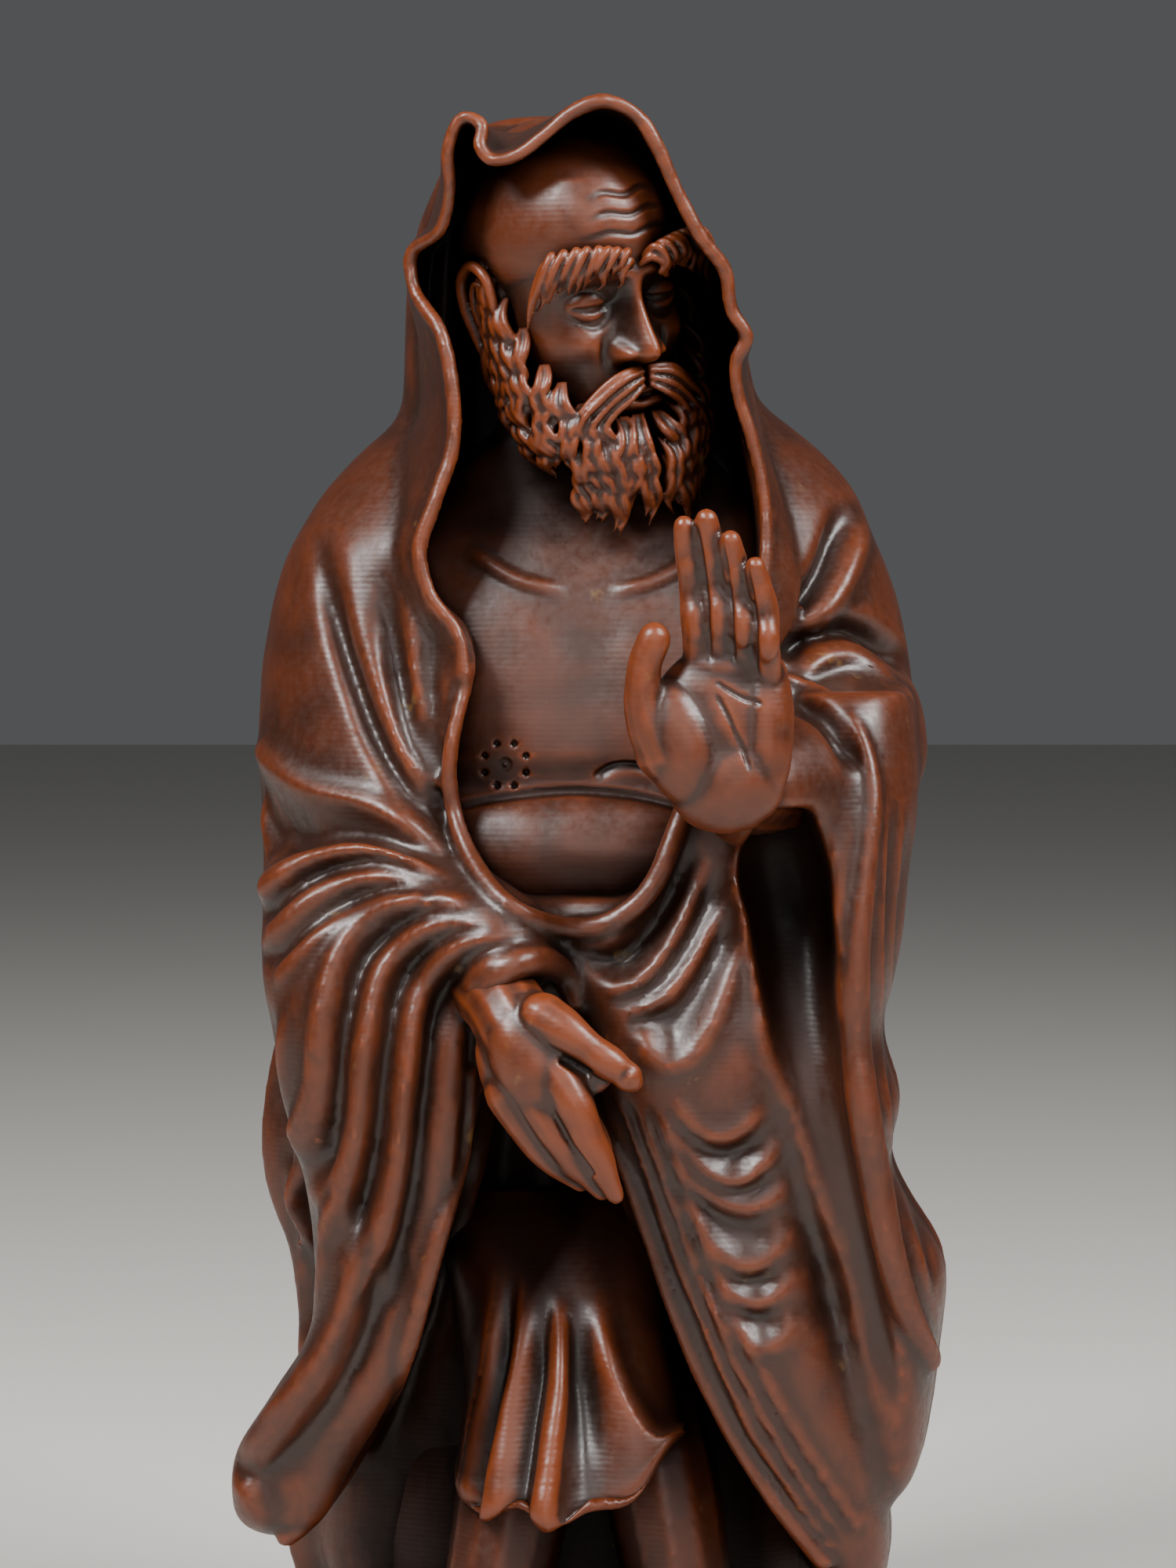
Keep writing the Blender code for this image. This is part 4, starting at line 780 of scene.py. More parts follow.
def face_depth(x, z, depth):
    """How far the face stands out at x and z, from how far its plain section does."""
    across = np.abs(x)
    for at_x, at_z, height, wide, high in FACE_SWELLINGS:
        depth = depth + height * bump(across, z, at_x, at_z, wide, high)
    nose = smooth_path(NOSE, 80, key=0)
    height, half = [np.interp(-z, -nose[:, 0], nose[:, k]) for k in (1, 2)]
    depth = depth + height * np.exp(-((across / half) ** 2.3))

    lip_reach = np.clip(1 - (x / 4.5) ** 2, 0, 1) ** 0.6
    parting = -12.2 + 0.022 * x**2 - 0.12 * np.cos(x * 1.6)
    depth = depth + 1.05 * lip_reach * np.exp(-(((z - parting - 0.85) / 0.75) ** 2))
    depth = depth + 1.3 * lip_reach * np.exp(-(((z - parting + 1.0) / 0.85) ** 2))
    depth = depth - 0.95 * lip_reach * np.exp(-(((z - parting) / 0.26) ** 2))

    off_x, off_z = across - EYE[0], z - EYE[1]
    apart = off_x**2 + off_z**2
    ball = EYE_DEPTH + np.sqrt(np.clip(EYE_RADIUS**2 - apart, 0, None))
    lid = EYE_DEPTH + np.sqrt(np.clip((EYE_RADIUS + LID) ** 2 - apart, 0, None))
    arch = np.clip(1 - (off_x / 2.9) ** 2, 0, 1)
    above, below = off_z - 0.35 * arch, -off_z - 0.95 * arch
    closed = smooth_step(np.maximum(above, below) / 0.14 + 0.5)
    eye = ball * (1 - closed) + lid * closed
    depth = np.where(apart < (EYE_RADIUS + LID) ** 2, np.maximum(depth, eye), depth)
    depth = depth - 0.55 * np.exp(-(((off_z - 1.7 * arch - 0.7) / 0.34) ** 2)) * arch**0.3
    depth = depth - 0.4 * np.exp(-(((off_z + 2.1 * arch + 0.5) / 0.4) ** 2)) * arch**0.3
    return depth


def face_relief():
    """The front half of the head as one closed body."""
    sections = smooth_path(FACE_SECTIONS, 210, key=0)
    turns = np.sin(np.linspace(-math.pi / 2, math.pi / 2, 190))
    points, faces = [], []
    for z, half, deep in sections:
        x = turns * half
        plain = deep * (1 - np.abs(turns) ** FACE_POWER) ** (1 / FACE_POWER)
        ahead = face_depth(x, np.full(len(x), z), plain) * smooth_step((1 - np.abs(turns)) / 0.02)
        points += [(a * MM, -b * MM, z * MM) for a, b in zip(x, ahead)]
    rows, columns = len(sections), len(turns)
    count = len(points)
    points += [(x, 2 * MM, z) for x, _, z in points]
    for i in range(rows - 1):
        for j in range(columns - 1):
            k = i * columns + j
            faces.append((k, k + 1, k + columns + 1, k + columns))
            faces.append(tuple(count + n for n in (k, k + columns, k + columns + 1, k + 1)))
    rim = list(range(columns)) + [i * columns + columns - 1 for i in range(1, rows)]
    rim += [(rows - 1) * columns + j for j in range(columns - 2, -1, -1)]
    rim += [i * columns for i in range(rows - 2, 0, -1)]
    for a, b in zip(rim, rim[1:] + rim[:1]):
        faces.append((a, b, count + b, count + a))
    mesh = bpy.data.meshes.new("face")
    mesh.from_pydata(points, [], faces)
    weld(mesh)
    return link("face", mesh)


def ear(side):
    x = side * 13.5
    rim = [(x, -1.4, -3.4), (x + side * 0.6, -1.6, 0.4), (x + side * 0.9, -0.4, 3.6),
           (x + side * 1.2, 2.4, 4.6), (x + side * 1.4, 4.6, 2.6), (x + side * 1.2, 4.6, -1.2),
           (x + side * 0.7, 3.2, -4.6), (x + side * 0.3, 1.4, -7.6)]
    fold = [(x + side * 0.4, 0.2, 1.6), (x + side * 0.8, 2.2, 2.2), (x + side * 0.8, 3.0, -0.6),
            (x + side * 0.4, 2.0, -3.6)]
    return [
        tubes("ear_rim", [(rim, [0.6, 0.75, 0.8, 0.8, 0.7]), (fold, [0.4, 0.55, 0.4])]),
        blob("ear_bowl", (side * 12.8, 1.6, -1.2), (1.2, 3.2, 5.2), (0, side * -6, side * -8)),
        blob("lobe", (side * 13.6, 0.8, -8.4), (1.2, 1.9, 3.4)),
        blob("ear_front", (side * 13.4, -1.5, -2.8), (0.7, 0.8, 1.2)),
    ]


def build_head():
    """The bald head, straight ahead, with the line of the eyes at z = 0, and then turned and placed."""
    parts = [blob("cranium", (0, 2.5, 7.5), (13.8, 16.5, 14)), face_relief()]
    for side in (-1, 1):
        parts += ear(side)
    head = fuse("head", parts, HEAD_GRID, relax=5)
    skull = head.vertex_groups.new(name="skull")
    height = read_vectors(head.data, "co")[:, 2] / MM
    skull.add(np.nonzero(height > SKULL_FROM)[0].tolist(), 1.0, "REPLACE")
    apply(head, "SMOOTH", factor=0.5, iterations=16, vertex_group="skull")
    outer_skin(head)
    for k in range(3):
        z = 8.6 + 2.4 * k
        line = [(-7.4 + k, z), (-3, z + 0.8), (0, z + 0.3), (3, z + 0.8), (7.4 - k, z)]
        groove(head, "front", line, -0.24, 0.7, fade=(0.35, 0.35))
    thin_out(head, HEAD_TRIANGLES)
    head.data.transform(head_turn())
    return head


# Beard, moustache and brows

BEARD_SECTIONS = [
    (5, -12.4, 12.4, -3, 6), (0, -12.9, 12.9, -6, 6), (-4, -13.2, 13.2, -8.8, 6),
    (-9, -13.5, 13.5, -11.4, 5), (-13, -13.4, 13.4, -13, 4), (-17, -12.6, 12.6, -14.6, 2),
    (-21, -10.6, 10.6, -15.4, 0), (-25, -7.4, 7.4, -14.8, -2), (-28, -3.6, 3.6, -13, -5),
]
BEARD_INSET = 1.3
BEARD_POWER = 2.2
# Below this height the locks hang free
BEARD_FREE = -22.5
BEARD_SEED = 11
BROW_SEED = 5


def beard_point(turn, z, lift):
    """A point of the beard's surface. turn is in radians from straight ahead, z is its height."""
    stations = smooth_path(BEARD_SECTIONS, 65, key=0)
    heights = -stations[:, 0]
    level = -max(z, BEARD_FREE)
    left, right, front, back = [np.interp(level, heights, stations[:, k]) for k in (1, 2, 3, 4)]
    across, ahead = math.sin(turn), -math.cos(turn)
    wide = math.copysign(abs(across) ** (2 / BEARD_POWER), across)
    deep = math.copysign(abs(ahead) ** (2 / BEARD_POWER), ahead)
    x = wide * ((right - left) / 2 + lift) + (left + right) / 2
    return x, (front + back) / 2 + deep * ((back - front) / 2 + lift), z


def lock(turn, top, length, width, curl, lean, strands=3):
    """One wavy lock: strands that run together, part before their tips and turn outwards there."""
    runs = []
    for s in range(strands):
        beside = s - (strands - 1) / 2
        points, steps = [], 9
        for k in range(steps):
            t = k / (steps - 1)
            spread = beside * width * (0.7 + 0.9 * t - 0.7 * t * t)
            spread += curl * math.sin(1.9 * math.pi * t + 0.3 * s) * (0.3 + 0.7 * t)
            here = turn + lean * t + spread / 12.5
            z = top - length * t * (1 - 0.14 * abs(beside))
            lift = 0.1 + 1.2 * math.sin(math.pi * min(1.0, 1.3 * t)) + 1.1 * t * t - 0.25 * (s % 2)
            points.append(beard_point(here, z, lift))
        runs.append((points, [0.25, 0.5, 0.54, 0.4, 0.08]))
    return runs


def beard_top(turn):
    """How high the beard starts, from below the lower lip to beside the ear."""
    turns, heights = [0, 16, 34, 50, 62, 74, 100], [-15.6, -14.8, -12.4, -8.6, -3.6, 1.6, 4]
    return float(np.interp(abs(math.degrees(turn)), turns, heights))


def build_beard():
    dice = np.random.default_rng(BEARD_SEED)
    inner = [(z, a + BEARD_INSET, b - BEARD_INSET, front + BEARD_INSET, back)
             for z, a, b, front, back in BEARD_SECTIONS if z < 4]
    mass = loft("beard_mass", inner, power=BEARD_POWER)
    runs = []
    rows = 8
    for row in range(rows):
        count = 21 - row
        for k in range(count):
            turn = math.radians(-100 + 200 * (k + 0.5 * (row % 2)) / (count - 0.5))
            top = beard_top(turn) + 0.8 - row * 2.9 + dice.uniform(-0.5, 0.5)
            if top < BEARD_FREE:
                continue
            outwards = math.copysign(1, turn)
            lean = 0.14 * outwards * (1 - row / rows) + dice.uniform(-0.06, 0.06)
            curl = dice.uniform(0.7, 1.15) * outwards * dice.choice([-1, 1, 1, 1])
            length = dice.uniform(6.4, 9.2) * (1 - 0.3 * (row > 4))
            runs += lock(turn, top, length, 0.86, curl, lean)
    for side in (-1, 1):
        for k in range(6):
            t = k / 5
            ahead = -0.6 * (k % 2)
            points = [(side * 0.5, -14.7 + ahead, -8.1 - 2.4 * t),
                      (side * (3.6 - 0.8 * t), -15.0 + ahead, -8.5 - 3.4 * t),
                      (side * (6.8 - 1.9 * t), -13.9 - 0.5 * t + ahead, -10.8 - 2.6 * t),
                      (side * (9.4 - 3.4 * t + 0.6 * (k % 2)), -12.9 - 1.1 * t + ahead, -14.0 - 2.0 * t),
                      (side * (10.2 - 4.2 * t - 0.5 * (k % 2)), -13.0 - 1.4 * t, -17.4 - 1.6 * t)]
            runs.append((points, [0.3, 0.46, 0.5, 0.38, 0.08]))
    beard = fuse("beard", [mass, tubes("locks", runs, sides=3, steps=4)], BEARD_GRID, relax=2)
    outer_skin(beard)
    thin_out(beard, FINE_TRIANGLES)
    beard.data.transform(head_turn())
    return beard


def build_brows():
    """Long flame-like brows that hang a little over the outer corners of the eyes."""
    dice = np.random.default_rng(BROW_SEED)
    runs = []
    for side in (-1, 1):
        for k in range(17):
            t = k / 16
            upper = k % 2
            x, y = 1.0 + 9.4 * t, -14.4 + 4.4 * t * t
            z = 3.8 + 1.9 * math.sin(math.pi * (0.15 + 0.62 * t)) + 1.1 * upper
            out = 2.0 + 1.9 * t + dice.uniform(-0.4, 0.4)
            fall = 1.2 + 5.0 * t * t + dice.uniform(-0.5, 1.1) + 0.9 * upper
            wave = dice.uniform(0.4, 1.1)
            ahead = y - 1.1 + 0.5 * t - 0.4 * upper
            points = [(side * (x - 0.5), y + 0.8, z - 0.2),
                      (side * (x + 0.3 * out), y - 0.9 - 0.4 * upper, z + 1.2),
                      (side * (x + 0.8 * out + 0.4 * wave), ahead, z + 0.5 - 0.45 * fall),
                      (side * (x + out - 0.4 * wave), y - 0.7 + 0.9 * t, z - 0.8 * fall),
                      (side * (x + 0.8 * out + 1.2 * wave), y - 0.5 + 1.2 * t, z - 0.2 - fall)]
            runs.append((points, [0.3, 0.55, 0.55, 0.4, 0.1]))
    brows = fuse("brows", [tubes("brow_locks", runs, sides=3, steps=4)], BROW_GRID, relax=1)
    brows.data.transform(head_turn())
    return brows


# The hands


def build_raised_hand():
    """The left hand, palm forward."""
    y = RAISED_HAND_Y
    # Each finger: where it leaves the palm, its middle and its tip in the front view, and how thick it is
    fingers = [
        ((13.4, 141), (13.0, 150.4), (11.6, 159.2), 1.75), ((16.3, 141.6), (15.8, 151.4), (14.4, 160), 1.8),
        ((19.2, 141), (18.6, 150), (17.2, 157.4), 1.75), ((22, 139.4), (21.6, 148), (20.2, 154.4), 1.6),
    ]
    parts = [
        blob("palm", (15.8, y + 1.0, 133.6), (8.8, 4.3, 10.6), (0, 3, 0)),
        blob("palm_edge", (21.4, y + 0.6, 133), (3.8, 3.7, 10.6), (0, 3, 0)),
        blob("palm_top", (17.6, y + 0.3, 141), (6.8, 2.6, 3.4)),
        blob("thumb_pad", (11.4, y - 0.5, 132), (5.2, 4.0, 8.2), (0, -20, 0)),
        blob("thumb_root", (9.0, y - 0.4, 134.4), (3.6, 3.4, 5.4), (0, -16, 0)),
        blob("heel", (16.8, y + 0.5, 127.8), (7.4, 4.3, 6.8)),
        blob("between_fingers", (16.4, y - 0.4, 146.6), (4.8, 1.5, 8.6), (0, -10, 0)),
        tube("wrist", [(17.4, y + 2, 127), (19.6, y + 8, 126.6), (23, y + 16, 127)], [5.8, 6.2, 7]),
        tube("thumb", [(9.4, y - 0.4, 131), (7.0, y - 1.4, 137), (6.8, y - 2.2, 141.4), (8.0, y - 2.6, 145)],
             [3.8, 2.9, 2.2, 2.1]),
    ]
    for n, (foot, middle, tip, r) in enumerate(fingers):
        near = y - 1.1 * n
        upper = ((middle[0] + tip[0]) / 2, (middle[1] + tip[1]) / 2)
        points = [(foot[0], y + 0.8, foot[1] - 4), (foot[0], y + 0.4 - 0.5 * n, foot[1] + 1.5),
                  (middle[0], near - 0.1, middle[1] - 2.4), (middle[0], near + 0.3, middle[1]),
                  (upper[0], near - 0.8, upper[1]), (tip[0], near - 2.0, tip[1] - 0.6)]
        parts.append(tube("finger", points, [r * 1.1, r * 1.1, r * 1.02, r * 1.08, r * 1.0, r * 0.8]))
        for share, swell in ((0.32, 1.05), (0.76, 0.95)):
            below, above = min(1, 2 * share), max(0, 2 * share - 1)
            at = [f + (m - f) * below + (t - m) * above for f, m, t in zip(foot, middle, tip)]
            place = (at[0], near - 0.5 - 0.7 * share, at[1])
            parts.append(blob("pad", place, (r * 0.9 * swell, r * 0.9, r * 1.7)))
    hand = fuse("raised_hand", parts, HAND_GRID, relax=9)
    outer_skin(hand)
    for k in range(3):
        path = [tuple((a + b) / 2 for a, b in zip(fingers[k][j], fingers[k + 1][j])) for j in range(3)]
        groove(hand, "front", path, -0.25, 0.45, fade=(0.15, 0.2))
    groove(hand, "front", [(15.3, 139.9), (17.4, 138.6), (19.4, 137.6), (21.4, 137)], -0.3, 0.5)
    groove(hand, "front", [(15.4, 138.6), (16.8, 136), (18.4, 132.6), (19.9, 128.6)], -0.3, 0.5)

    unevenness(hand, 0.1, 3.0)
    thin_out(hand, SOFT_TRIANGLES)
    return hand


# The middle of the thumb's nail in the front view
NAIL = (5.0, 91.2)


def build_low_hand():
    """The right hand, which holds the edge of the robe between thumb and finger."""
    y = LOW_HAND_Y
    parts = [
        tube("wrist", [(-13, y + 12, 101), (-9.6, y + 5, 98), (-7.4, y + 2.6, 94)], [5.0, 5.2, 5.4]),
        blob("back_of_hand", (-6.0, y + 1.6, 91.4), (5.4, 4.6, 9.4), (0, -30, 0)),
        blob("finger_mass", (-2.6, y + 1.0, 84.6), (4.2, 2.6, 8.6), (0, -32, 0)),
        blob("hand_edge", (-8.6, y + 4.0, 89.4), (4.0, 3.6, 8.0), (0, -32, 0)),
        tube("thumb", [(-5.6, y + 0.6, 98), (-2.2, y - 1.2, 96.2), (1.0, y - 2.0, 94), (3.6, y - 2.2, 92.2),
                       (5.4, y - 1.8, 90.6)], [3.4, 2.9, 2.1, 2.2, 1.5]),
        blob("knuckle", (-1.8, y - 1.7, 96.3), (2.2, 1.9, 1.8)),
        blob("web", (-0.6, y + 0.0, 91.2), (3.8, 2.1, 2.8)),
        tube("first_finger", [(-4.6, y + 0.4, 92), (-1.6, y - 1.6, 87.4), (0.0, y - 1.4, 83.6),
                              (1.8, y - 0.4, 79.6), (3.4, y + 0.6, 76)], [3.4, 2.7, 2.2, 2.0, 1.1]),
        tube("second_finger", [(-7.0, y + 1.4, 90), (-4.6, y + 0.4, 85.4), (-2.2, y + 0.6, 81.6),
                               (1.6, y + 1.8, 76.4)], [3.6, 2.9, 2.4, 1.2]),
        tube("third_finger", [(-9.6, y + 2.8, 88.6), (-7.4, y + 2.2, 84.6), (-4.8, y + 2.4, 81),
                              (-1, y + 3, 77.4)], [3.4, 2.7, 2.3, 1.3]),
        blob("thumb_tip", (4.8, y - 2.2, 91.2), (2.0, 1.7, 1.9), (0, 40, 0)),
    ]
    hand = fuse("low_hand", parts, HAND_GRID, relax=10)
    outer_skin(hand)
    groove(hand, "front", [(-4.6, 87.6), (-2.6, 83.6), (0.8, 78.6)], -0.4, 0.6, fade=(0.35, 0.05))
    groove(hand, "front", [(-3.6, 93.6), (-1.6, 92.4), (0.6, 91.2)], -0.6, 1.0)
    dimple(hand, "front", NAIL, 1.5, -0.5)
    dimple(hand, "front", NAIL, 1.15, 0.6)
    unevenness(hand, 0.1, 3.0)
    thin_out(hand, SOFT_TRIANGLES)
    return hand


# The under robe, the feet and the rock


def build_skirt():
    """The under robe, hollow below, with a wavy hem."""
    skirt = loft("skirt", [
        (38, -12, 9, -21, 8), (33, -17, 12.8, -29.4, 12), (34.4, -17.4, 13.2, -29.4, 12),
        (38, -17, 13.2, -28, 12), (46, -16.4, 13, -24, 12), (56, -17.4, 12.6, -18.6, 12),
        (64, -20, 12, -13, 12), (72, -22, 12, -7, 12),
    ])
    skirt = fuse("skirt", [skirt], SKIRT_GRID, relax=4)
    outer = [(-11.6, 64), (-13, 52), (-14.6, 44), (-17, 33)]
    inner = [(-8, 62), (-9.4, 52), (-11.6, 42), (-13.6, 32)]
    middle = [(-3.6, 60), (-3.4, 50), (-4.6, 42), (-6, 31)]
    far = [(0.6, 61), (2.5, 51.7), (7.3, 42.4), (11.4, 37)]
    front = (-34, -8)
    pleat(skirt, "front", [outer, inner, middle], 3.0, lean=0.6, scoop=-0.2, fade=(0.35, 0.0), reach=front)
    pleat(skirt, "front", [middle, far], 3.2, lean=0.4, scoop=0.2, fade=(0.35, 0.0), reach=front)
    apply(skirt, "SMOOTH", factor=0.5, iterations=3)
    co = read_vectors(skirt.data, "co") / MM
    low = smooth_step((46 - co[:, 2]) / 14)
    rise = 7.5 * smooth_step((co[:, 0] - 1) / 12) + 0.9 * np.sin(co[:, 0] * 0.62 + 0.8)
    co[:, 2] += low * rise * (co[:, 1] < -6)
    write_points(skirt.data, co)
    unevenness(skirt, 0.15, 6.0)
    thin_out(skirt, SOFT_TRIANGLES)
    return skirt


def build_feet():
    parts = [loft("legs", [(6, -31, 32, -8, 20), (24, -32, 33, -8, 23), (42, -31, 33, -6, 23)])]
    for side in (-1, 1):
        parts += [
            tube("trouser", [(side * 8.4 - 1, -8, 46), (side * 9.6, -12, 34), (side * 12, -15, 20)],
                 [7, 7.6, 7]),
            blob("foot", (side * 13.8, -21, 13.6), (6.6, 14, 5.4)),
        ]
        for toe in range(5):
            out = (toe - 2) * 2.5
            parts.append(blob("toe", (side * 13.8 + out, -34 + abs(out) * 0.5, 12.8), (1.7, 3, 1.9)))
    feet = fuse("feet", parts, FOOT_GRID, relax=3)
    outer_skin(feet)
    thin_out(feet, FOOT_TRIANGLES)
    return feet


BASE_LENGTH, BASE_WIDTH, BASE_HEIGHT = 92.0, 74.0, 11.0


def build_base():
    """The low rock. Its sizes are those of the CAD solid's foot."""
    stations = []
    for up, half in ((0.0, 0.495), (0.25, 0.5), (0.62, 0.485), (0.88, 0.45), (1.0, 0.41)):
        long, wide = half * BASE_LENGTH, half * BASE_WIDTH
        stations.append((up * BASE_HEIGHT, -long, long, -wide, wide))
    base = loft("rock_base", stations, power=2.7)
    base = fuse("rock_base", [base], BASE_GRID, relax=1)
    thin_out(base, BASE_TRIANGLES)
    return base


# The wood


def linear(hex_colour):
    """An sRGB hex colour as linear red, green, blue and alpha."""
    values = [int(hex_colour[k:k + 2], 16) / 255 for k in (0, 2, 4)]
    return (*[v / 12.92 if v <= 0.04045 else ((v + 0.055) / 1.055) ** 2.4 for v in values], 1.0)


def add_node(tree, kind, inputs=(), **settings):
    """Adds a node, sets it up and links or sets its inputs."""
    made = tree.nodes.new(kind)
    for key, value in settings.items():
        setattr(made, key, value)
    for name, value in dict(inputs).items():
        if isinstance(value, bpy.types.NodeSocket):
            tree.links.new(value, made.inputs[name])
        else:
            made.inputs[name].default_value = value
    return made


def spreader(mesh):
    """A function that averages values, one row for each point, with those of the points next to it."""
    links = np.empty(len(mesh.edges) * 2, np.int64)
    mesh.edges.foreach_get("vertices", links)
    links = links.reshape(-1, 2)
    size = len(mesh.vertices)
    count = np.maximum(np.bincount(links.ravel(), minlength=size), 1).astype(float)[:, None]
    rows = np.concatenate([links[:, 0], links[:, 1]])
    order = np.argsort(rows, kind="stable")
    others = np.concatenate([links[:, 1], links[:, 0]])[order]
    starts = np.minimum(np.searchsorted(rows[order], np.arange(size)), len(others) - 1)

    def spread(values, times):
        for _ in range(times):
            values = 0.35 * values + 0.65 * np.add.reduceat(values[others], starts, axis=0) / count
        return values
    return spread, links


def store_hollows(obj, spread, links):
    """Stores how deep each point lies below what is near and wide around it, 0 on ridges to 1 in hollows."""
    co = read_vectors(obj.data, "co") / MM
    normal = read_vectors(obj.data, "normal")
    edge = float(np.linalg.norm(co[links[:, 0]] - co[links[:, 1]], axis=1).mean())
    eased = co.copy()
    for name, reach, depth in (("near", 1.0, 0.16), ("wide", 4.0, 1.1)):
        eased = spread(eased, int(min(260, 1.6 * (reach / edge) ** 2)) + 1)
        below = ((eased - co) * normal).sum(1) / depth
        layer = obj.data.attributes.new(name, "FLOAT", "POINT")
        layer.data.foreach_set("value", np.clip(0.5 + 0.5 * below, 0, 1).astype(np.float32))


# How far rays look for carving that shuts a point in, how many leave it, and how often they are averaged
SHADE_REACH = 34.0
SHADE_RAYS = 7
SHADE_SPREAD = 14


def carving_tree(pieces):
    """All pieces in one tree for casting rays."""
    corners, sides, start = [], [], 0
    for obj in pieces:
        co = read_vectors(obj.data, "co")
        obj.data.calc_loop_triangles()
        tris = np.empty(len(obj.data.loop_triangles) * 3, np.int32)
        obj.data.loop_triangles.foreach_get("vertices", tris)
        corners.append(co)
        sides.append(tris.reshape(-1, 3) + start)
        start += len(co)
    return BVHTree.FromPolygons(np.concatenate(corners).tolist(), np.concatenate(sides).tolist(),
                                all_triangles=True)


def store_shade(obj, tree, spread):
    """Stores how far the carving around shuts each point in, for the painted shade that darkens deep places.
    """
    co = read_vectors(obj.data, "co")
    normal = read_vectors(obj.data, "normal")
    beside = np.cross(normal, (0.31, 0.52, 0.79))
    beside /= np.maximum(np.linalg.norm(beside, axis=1), 1e-6)[:, None]
    third = np.cross(normal, beside)
    origins = (co + normal * 0.3 * MM).tolist()
    shade = np.zeros((len(co), 1))
    for n in range(SHADE_RAYS):
        turn = 2 * math.pi * n / SHADE_RAYS
        way = normal * 0.62 + (beside * math.cos(turn) + third * math.sin(turn)) * 0.78
        hits = [tree.ray_cast(o, w, SHADE_REACH * MM)[0] is not None for o, w in zip(origins, way.tolist())]
        shade[:, 0] += hits
    shade = spread(shade / SHADE_RAYS, SHADE_SPREAD)
    layer = obj.data.attributes.new("shade", "FLOAT", "POINT")
    layer.data.foreach_set("value", shade[:, 0].astype(np.float32))


def aged_boxwood():
    """Boxwood cut with knives, dark with age and waxed: red-brown and glossy where worn, dusty and dull in
    hollows, with painted shade darkening the hollows and deep recesses.
    """
    made = bpy.data.materials.new("aged_boxwood")
    made.use_nodes = True
    tree = made.node_tree
    shader = tree.nodes["Principled BSDF"]
    place = add_node(tree, "ShaderNodeTexCoord").outputs["Object"]
    near = add_node(tree, "ShaderNodeAttribute", attribute_name="near").outputs["Fac"]
    wide = add_node(tree, "ShaderNodeAttribute", attribute_name="wide").outputs["Fac"]
    shade = add_node(tree, "ShaderNodeAttribute", attribute_name="shade").outputs["Fac"]

    # Uneven staining, about 14 mm across, flecks about 1 mm across and rare lighter spots about 8 mm apart
    stain = add_node(tree, "ShaderNodeTexNoise",
                     {"Vector": place, "Scale": 70.0, "Detail": 4.0, "Roughness": 0.55})
    flecks = add_node(tree, "ShaderNodeTexNoise", {"Vector": place, "Scale": 900.0, "Detail": 3.0})
    spots = add_node(tree, "ShaderNodeTexNoise",
                     {"Vector": place, "Scale": 130.0, "Detail": 5.0, "Roughness": 0.6})
    # Growth lines lie about 0.3 mm apart, drawn 0.7 mm apart here so that they show
    lines = add_node(tree, "ShaderNodeTexWave",
                     {"Vector": place, "Scale": 450.0, "Distortion": 2.2, "Detail": 2.0,
                      "Detail Scale": 0.25, "Detail Roughness": 0.5},
                     wave_type="BANDS", bands_direction="Z", wave_profile="SIN")

    worn = add_node(tree, "ShaderNodeMapRange", {"Value": near, "From Min": 0.52, "From Max": 0.12})
    # Dust together with painted shade darkens the wide hollows
    deep = add_node(tree, "ShaderNodeMapRange", {"Value": wide, "From Min": 0.5, "From Max": 0.95})
    # Painted shade: near black where the carving around shuts a point in
    painted_shade = add_node(tree, "ShaderNodeMapRange",
                    {"Value": shade, "From Min": 0.28, "From Max": 0.84, "To Max": 0.94})
    rare = add_node(tree, "ShaderNodeMapRange",
                    {"Value": spots.outputs["Fac"], "From Min": 0.67, "From Max": 0.74, "To Max": 0.4})
    # The wood's two browns, and over them worn edges, dust with painted shade in the wide hollows,
    # near-black painted shade where the carving shuts a point in, and pale spots
    wood = add_node(tree, "ShaderNodeMix", {"Factor": stain.outputs["Fac"], "A": linear("250f06"),
                                            "B": linear("351709")}, data_type="RGBA")
    for where, colour in ((worn, "602a0f"), (deep, "1d120d"), (painted_shade, "0a0504"), (rare, "6f5428")):
        wood = add_node(tree, "ShaderNodeMix", {"Factor": where.outputs["Result"], "B": linear(colour),
                                                "A": wood.outputs["Result"]}, data_type="RGBA")
    tree.links.new(wood.outputs["Result"], shader.inputs["Base Color"])

    # The painted shade also takes the shine from deep places, and the flecks make the wax uneven
    dull = add_node(tree, "ShaderNodeMapRange",
                    {"Value": painted_shade.outputs["Result"], "To Min": 0.42, "To Max": 0.03})
    tree.links.new(dull.outputs["Result"], shader.inputs["Specular IOR Level"])
    gloss = add_node(tree, "ShaderNodeMapRange", {"Value": flecks.outputs["Fac"], "From Min": 0.3,
                                                  "From Max": 0.7, "To Min": 0.33, "To Max": 0.47})
    tree.links.new(gloss.outputs["Result"], shader.inputs["Roughness"])
    shader.inputs["IOR"].default_value = 1.5
    grain = add_node(tree, "ShaderNodeBump",
                     {"Height": lines.outputs["Fac"], "Strength": 0.05, "Distance": 0.0001})
    tool = add_node(tree, "ShaderNodeBump", {"Height": flecks.outputs["Fac"], "Strength": 0.12,
                                             "Distance": 0.0002, "Normal": grain.outputs["Normal"]})
    tree.links.new(tool.outputs["Normal"], shader.inputs["Normal"])
    return made


# The scene


FLOOR_SIZE = 6


def build_floor():
    deselect()
    bpy.ops.mesh.primitive_plane_add(size=FLOOR_SIZE)
    floor = bpy.context.object
    floor.name = "floor"
    paint = bpy.data.materials.new("pale_floor")
    paint.use_nodes = True
    shader = paint.node_tree.nodes["Principled BSDF"]
    shader.inputs["Base Color"].default_value = linear("c9c6c0")
    shader.inputs["Roughness"].default_value = 0.8
    floor.data.materials.append(paint)


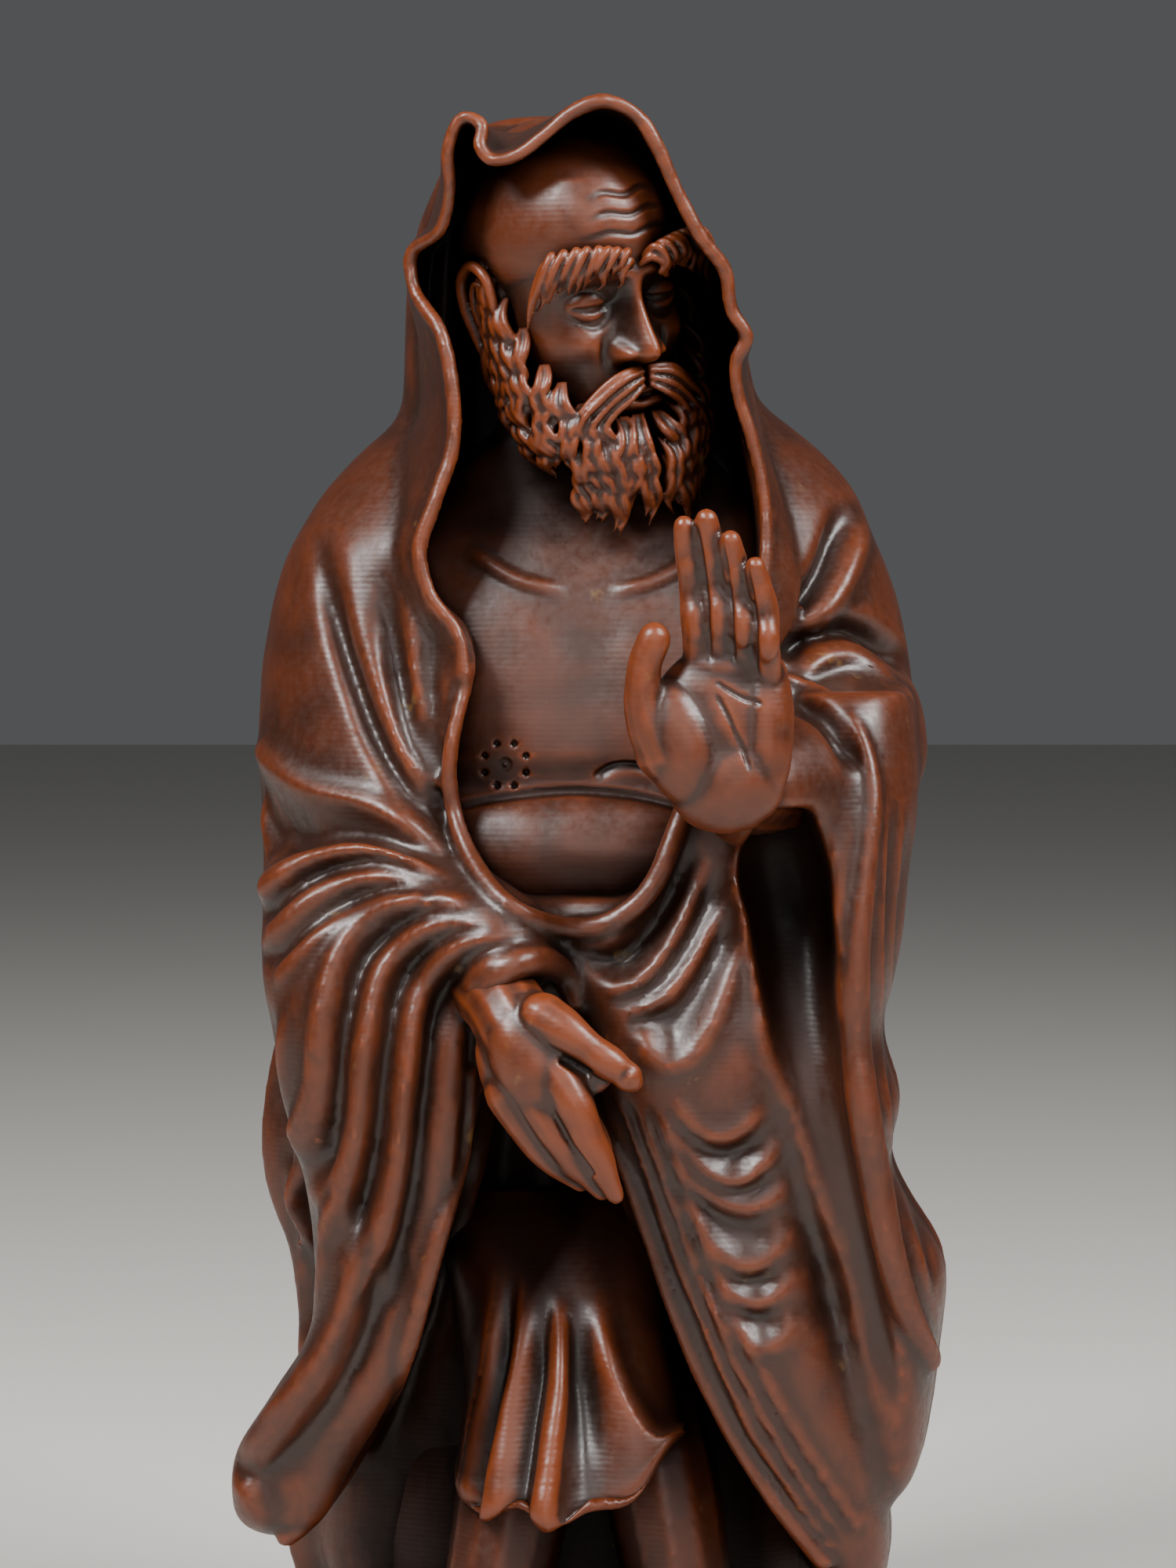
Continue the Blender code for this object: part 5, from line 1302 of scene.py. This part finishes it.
def soft_light(name, place, size, power):
    """A square lamp of size metres and power watts that looks at the middle of the figure."""
    lamp = bpy.data.lights.new(name, "AREA")
    lamp.size = size
    lamp.energy = power
    made = link(name, lamp)
    made.location = place
    made.rotation_euler = (Vector((0, 0, 0.12)) - Vector(place)).to_track_quat("-Z", "Y").to_euler()


def build_lights():
    world = bpy.data.worlds.new("studio")
    world.use_nodes = True
    around = world.node_tree.nodes["Background"]
    around.inputs["Color"].default_value = linear("c4c6ca")
    around.inputs["Strength"].default_value = 0.16
    bpy.context.scene.world = world
    soft_light("key", (-0.32, -0.34, 0.58), 0.2, 8.6)
    soft_light("second", (0.36, -0.26, 0.52), 0.22, 6.5)
    soft_light("front", (0.1, -0.75, 0.36), 0.5, 2.0)


# The camera: what it looks at and how far off it is in metres, its rise in degrees, and its lens and
# sensor in millimetres
CAMERA_AIM = (0, -0.02, 0.126)
CAMERA_DISTANCE = 0.5556
CAMERA_LIFT = 3.0
CAMERA_LENS = 100
CAMERA_SENSOR = 36


def build_camera():
    lens = bpy.data.cameras.new("camera")
    lens.lens = CAMERA_LENS
    lens.sensor_width = CAMERA_SENSOR
    lens.clip_start = 0.01
    camera = link("camera", lens)
    lift = math.radians(CAMERA_LIFT)
    back = Vector((0, -math.cos(lift), math.sin(lift)))
    camera.location = Vector(CAMERA_AIM) + back * CAMERA_DISTANCE
    camera.rotation_euler = (-back).to_track_quat("-Z", "Y").to_euler()
    bpy.context.scene.camera = camera


build_camera()
build_lights()
build_floor()
wood = aged_boxwood()
pieces = [build() for build in (build_robe, build_chest, build_head, build_beard, build_brows,
                                build_raised_hand, build_low_hand, build_skirt, build_feet, build_base)]
tree = carving_tree(pieces)
for piece in pieces:
    spread, links = spreader(piece.data)
    store_hollows(piece, spread, links)
    store_shade(piece, tree, spread)
    piece.data.materials.clear()
    piece.data.materials.append(wood)
    deselect()
    piece.select_set(True)
    bpy.context.view_layer.objects.active = piece
    bpy.ops.object.shade_smooth()
    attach(piece, "root")
    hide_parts(NODE)
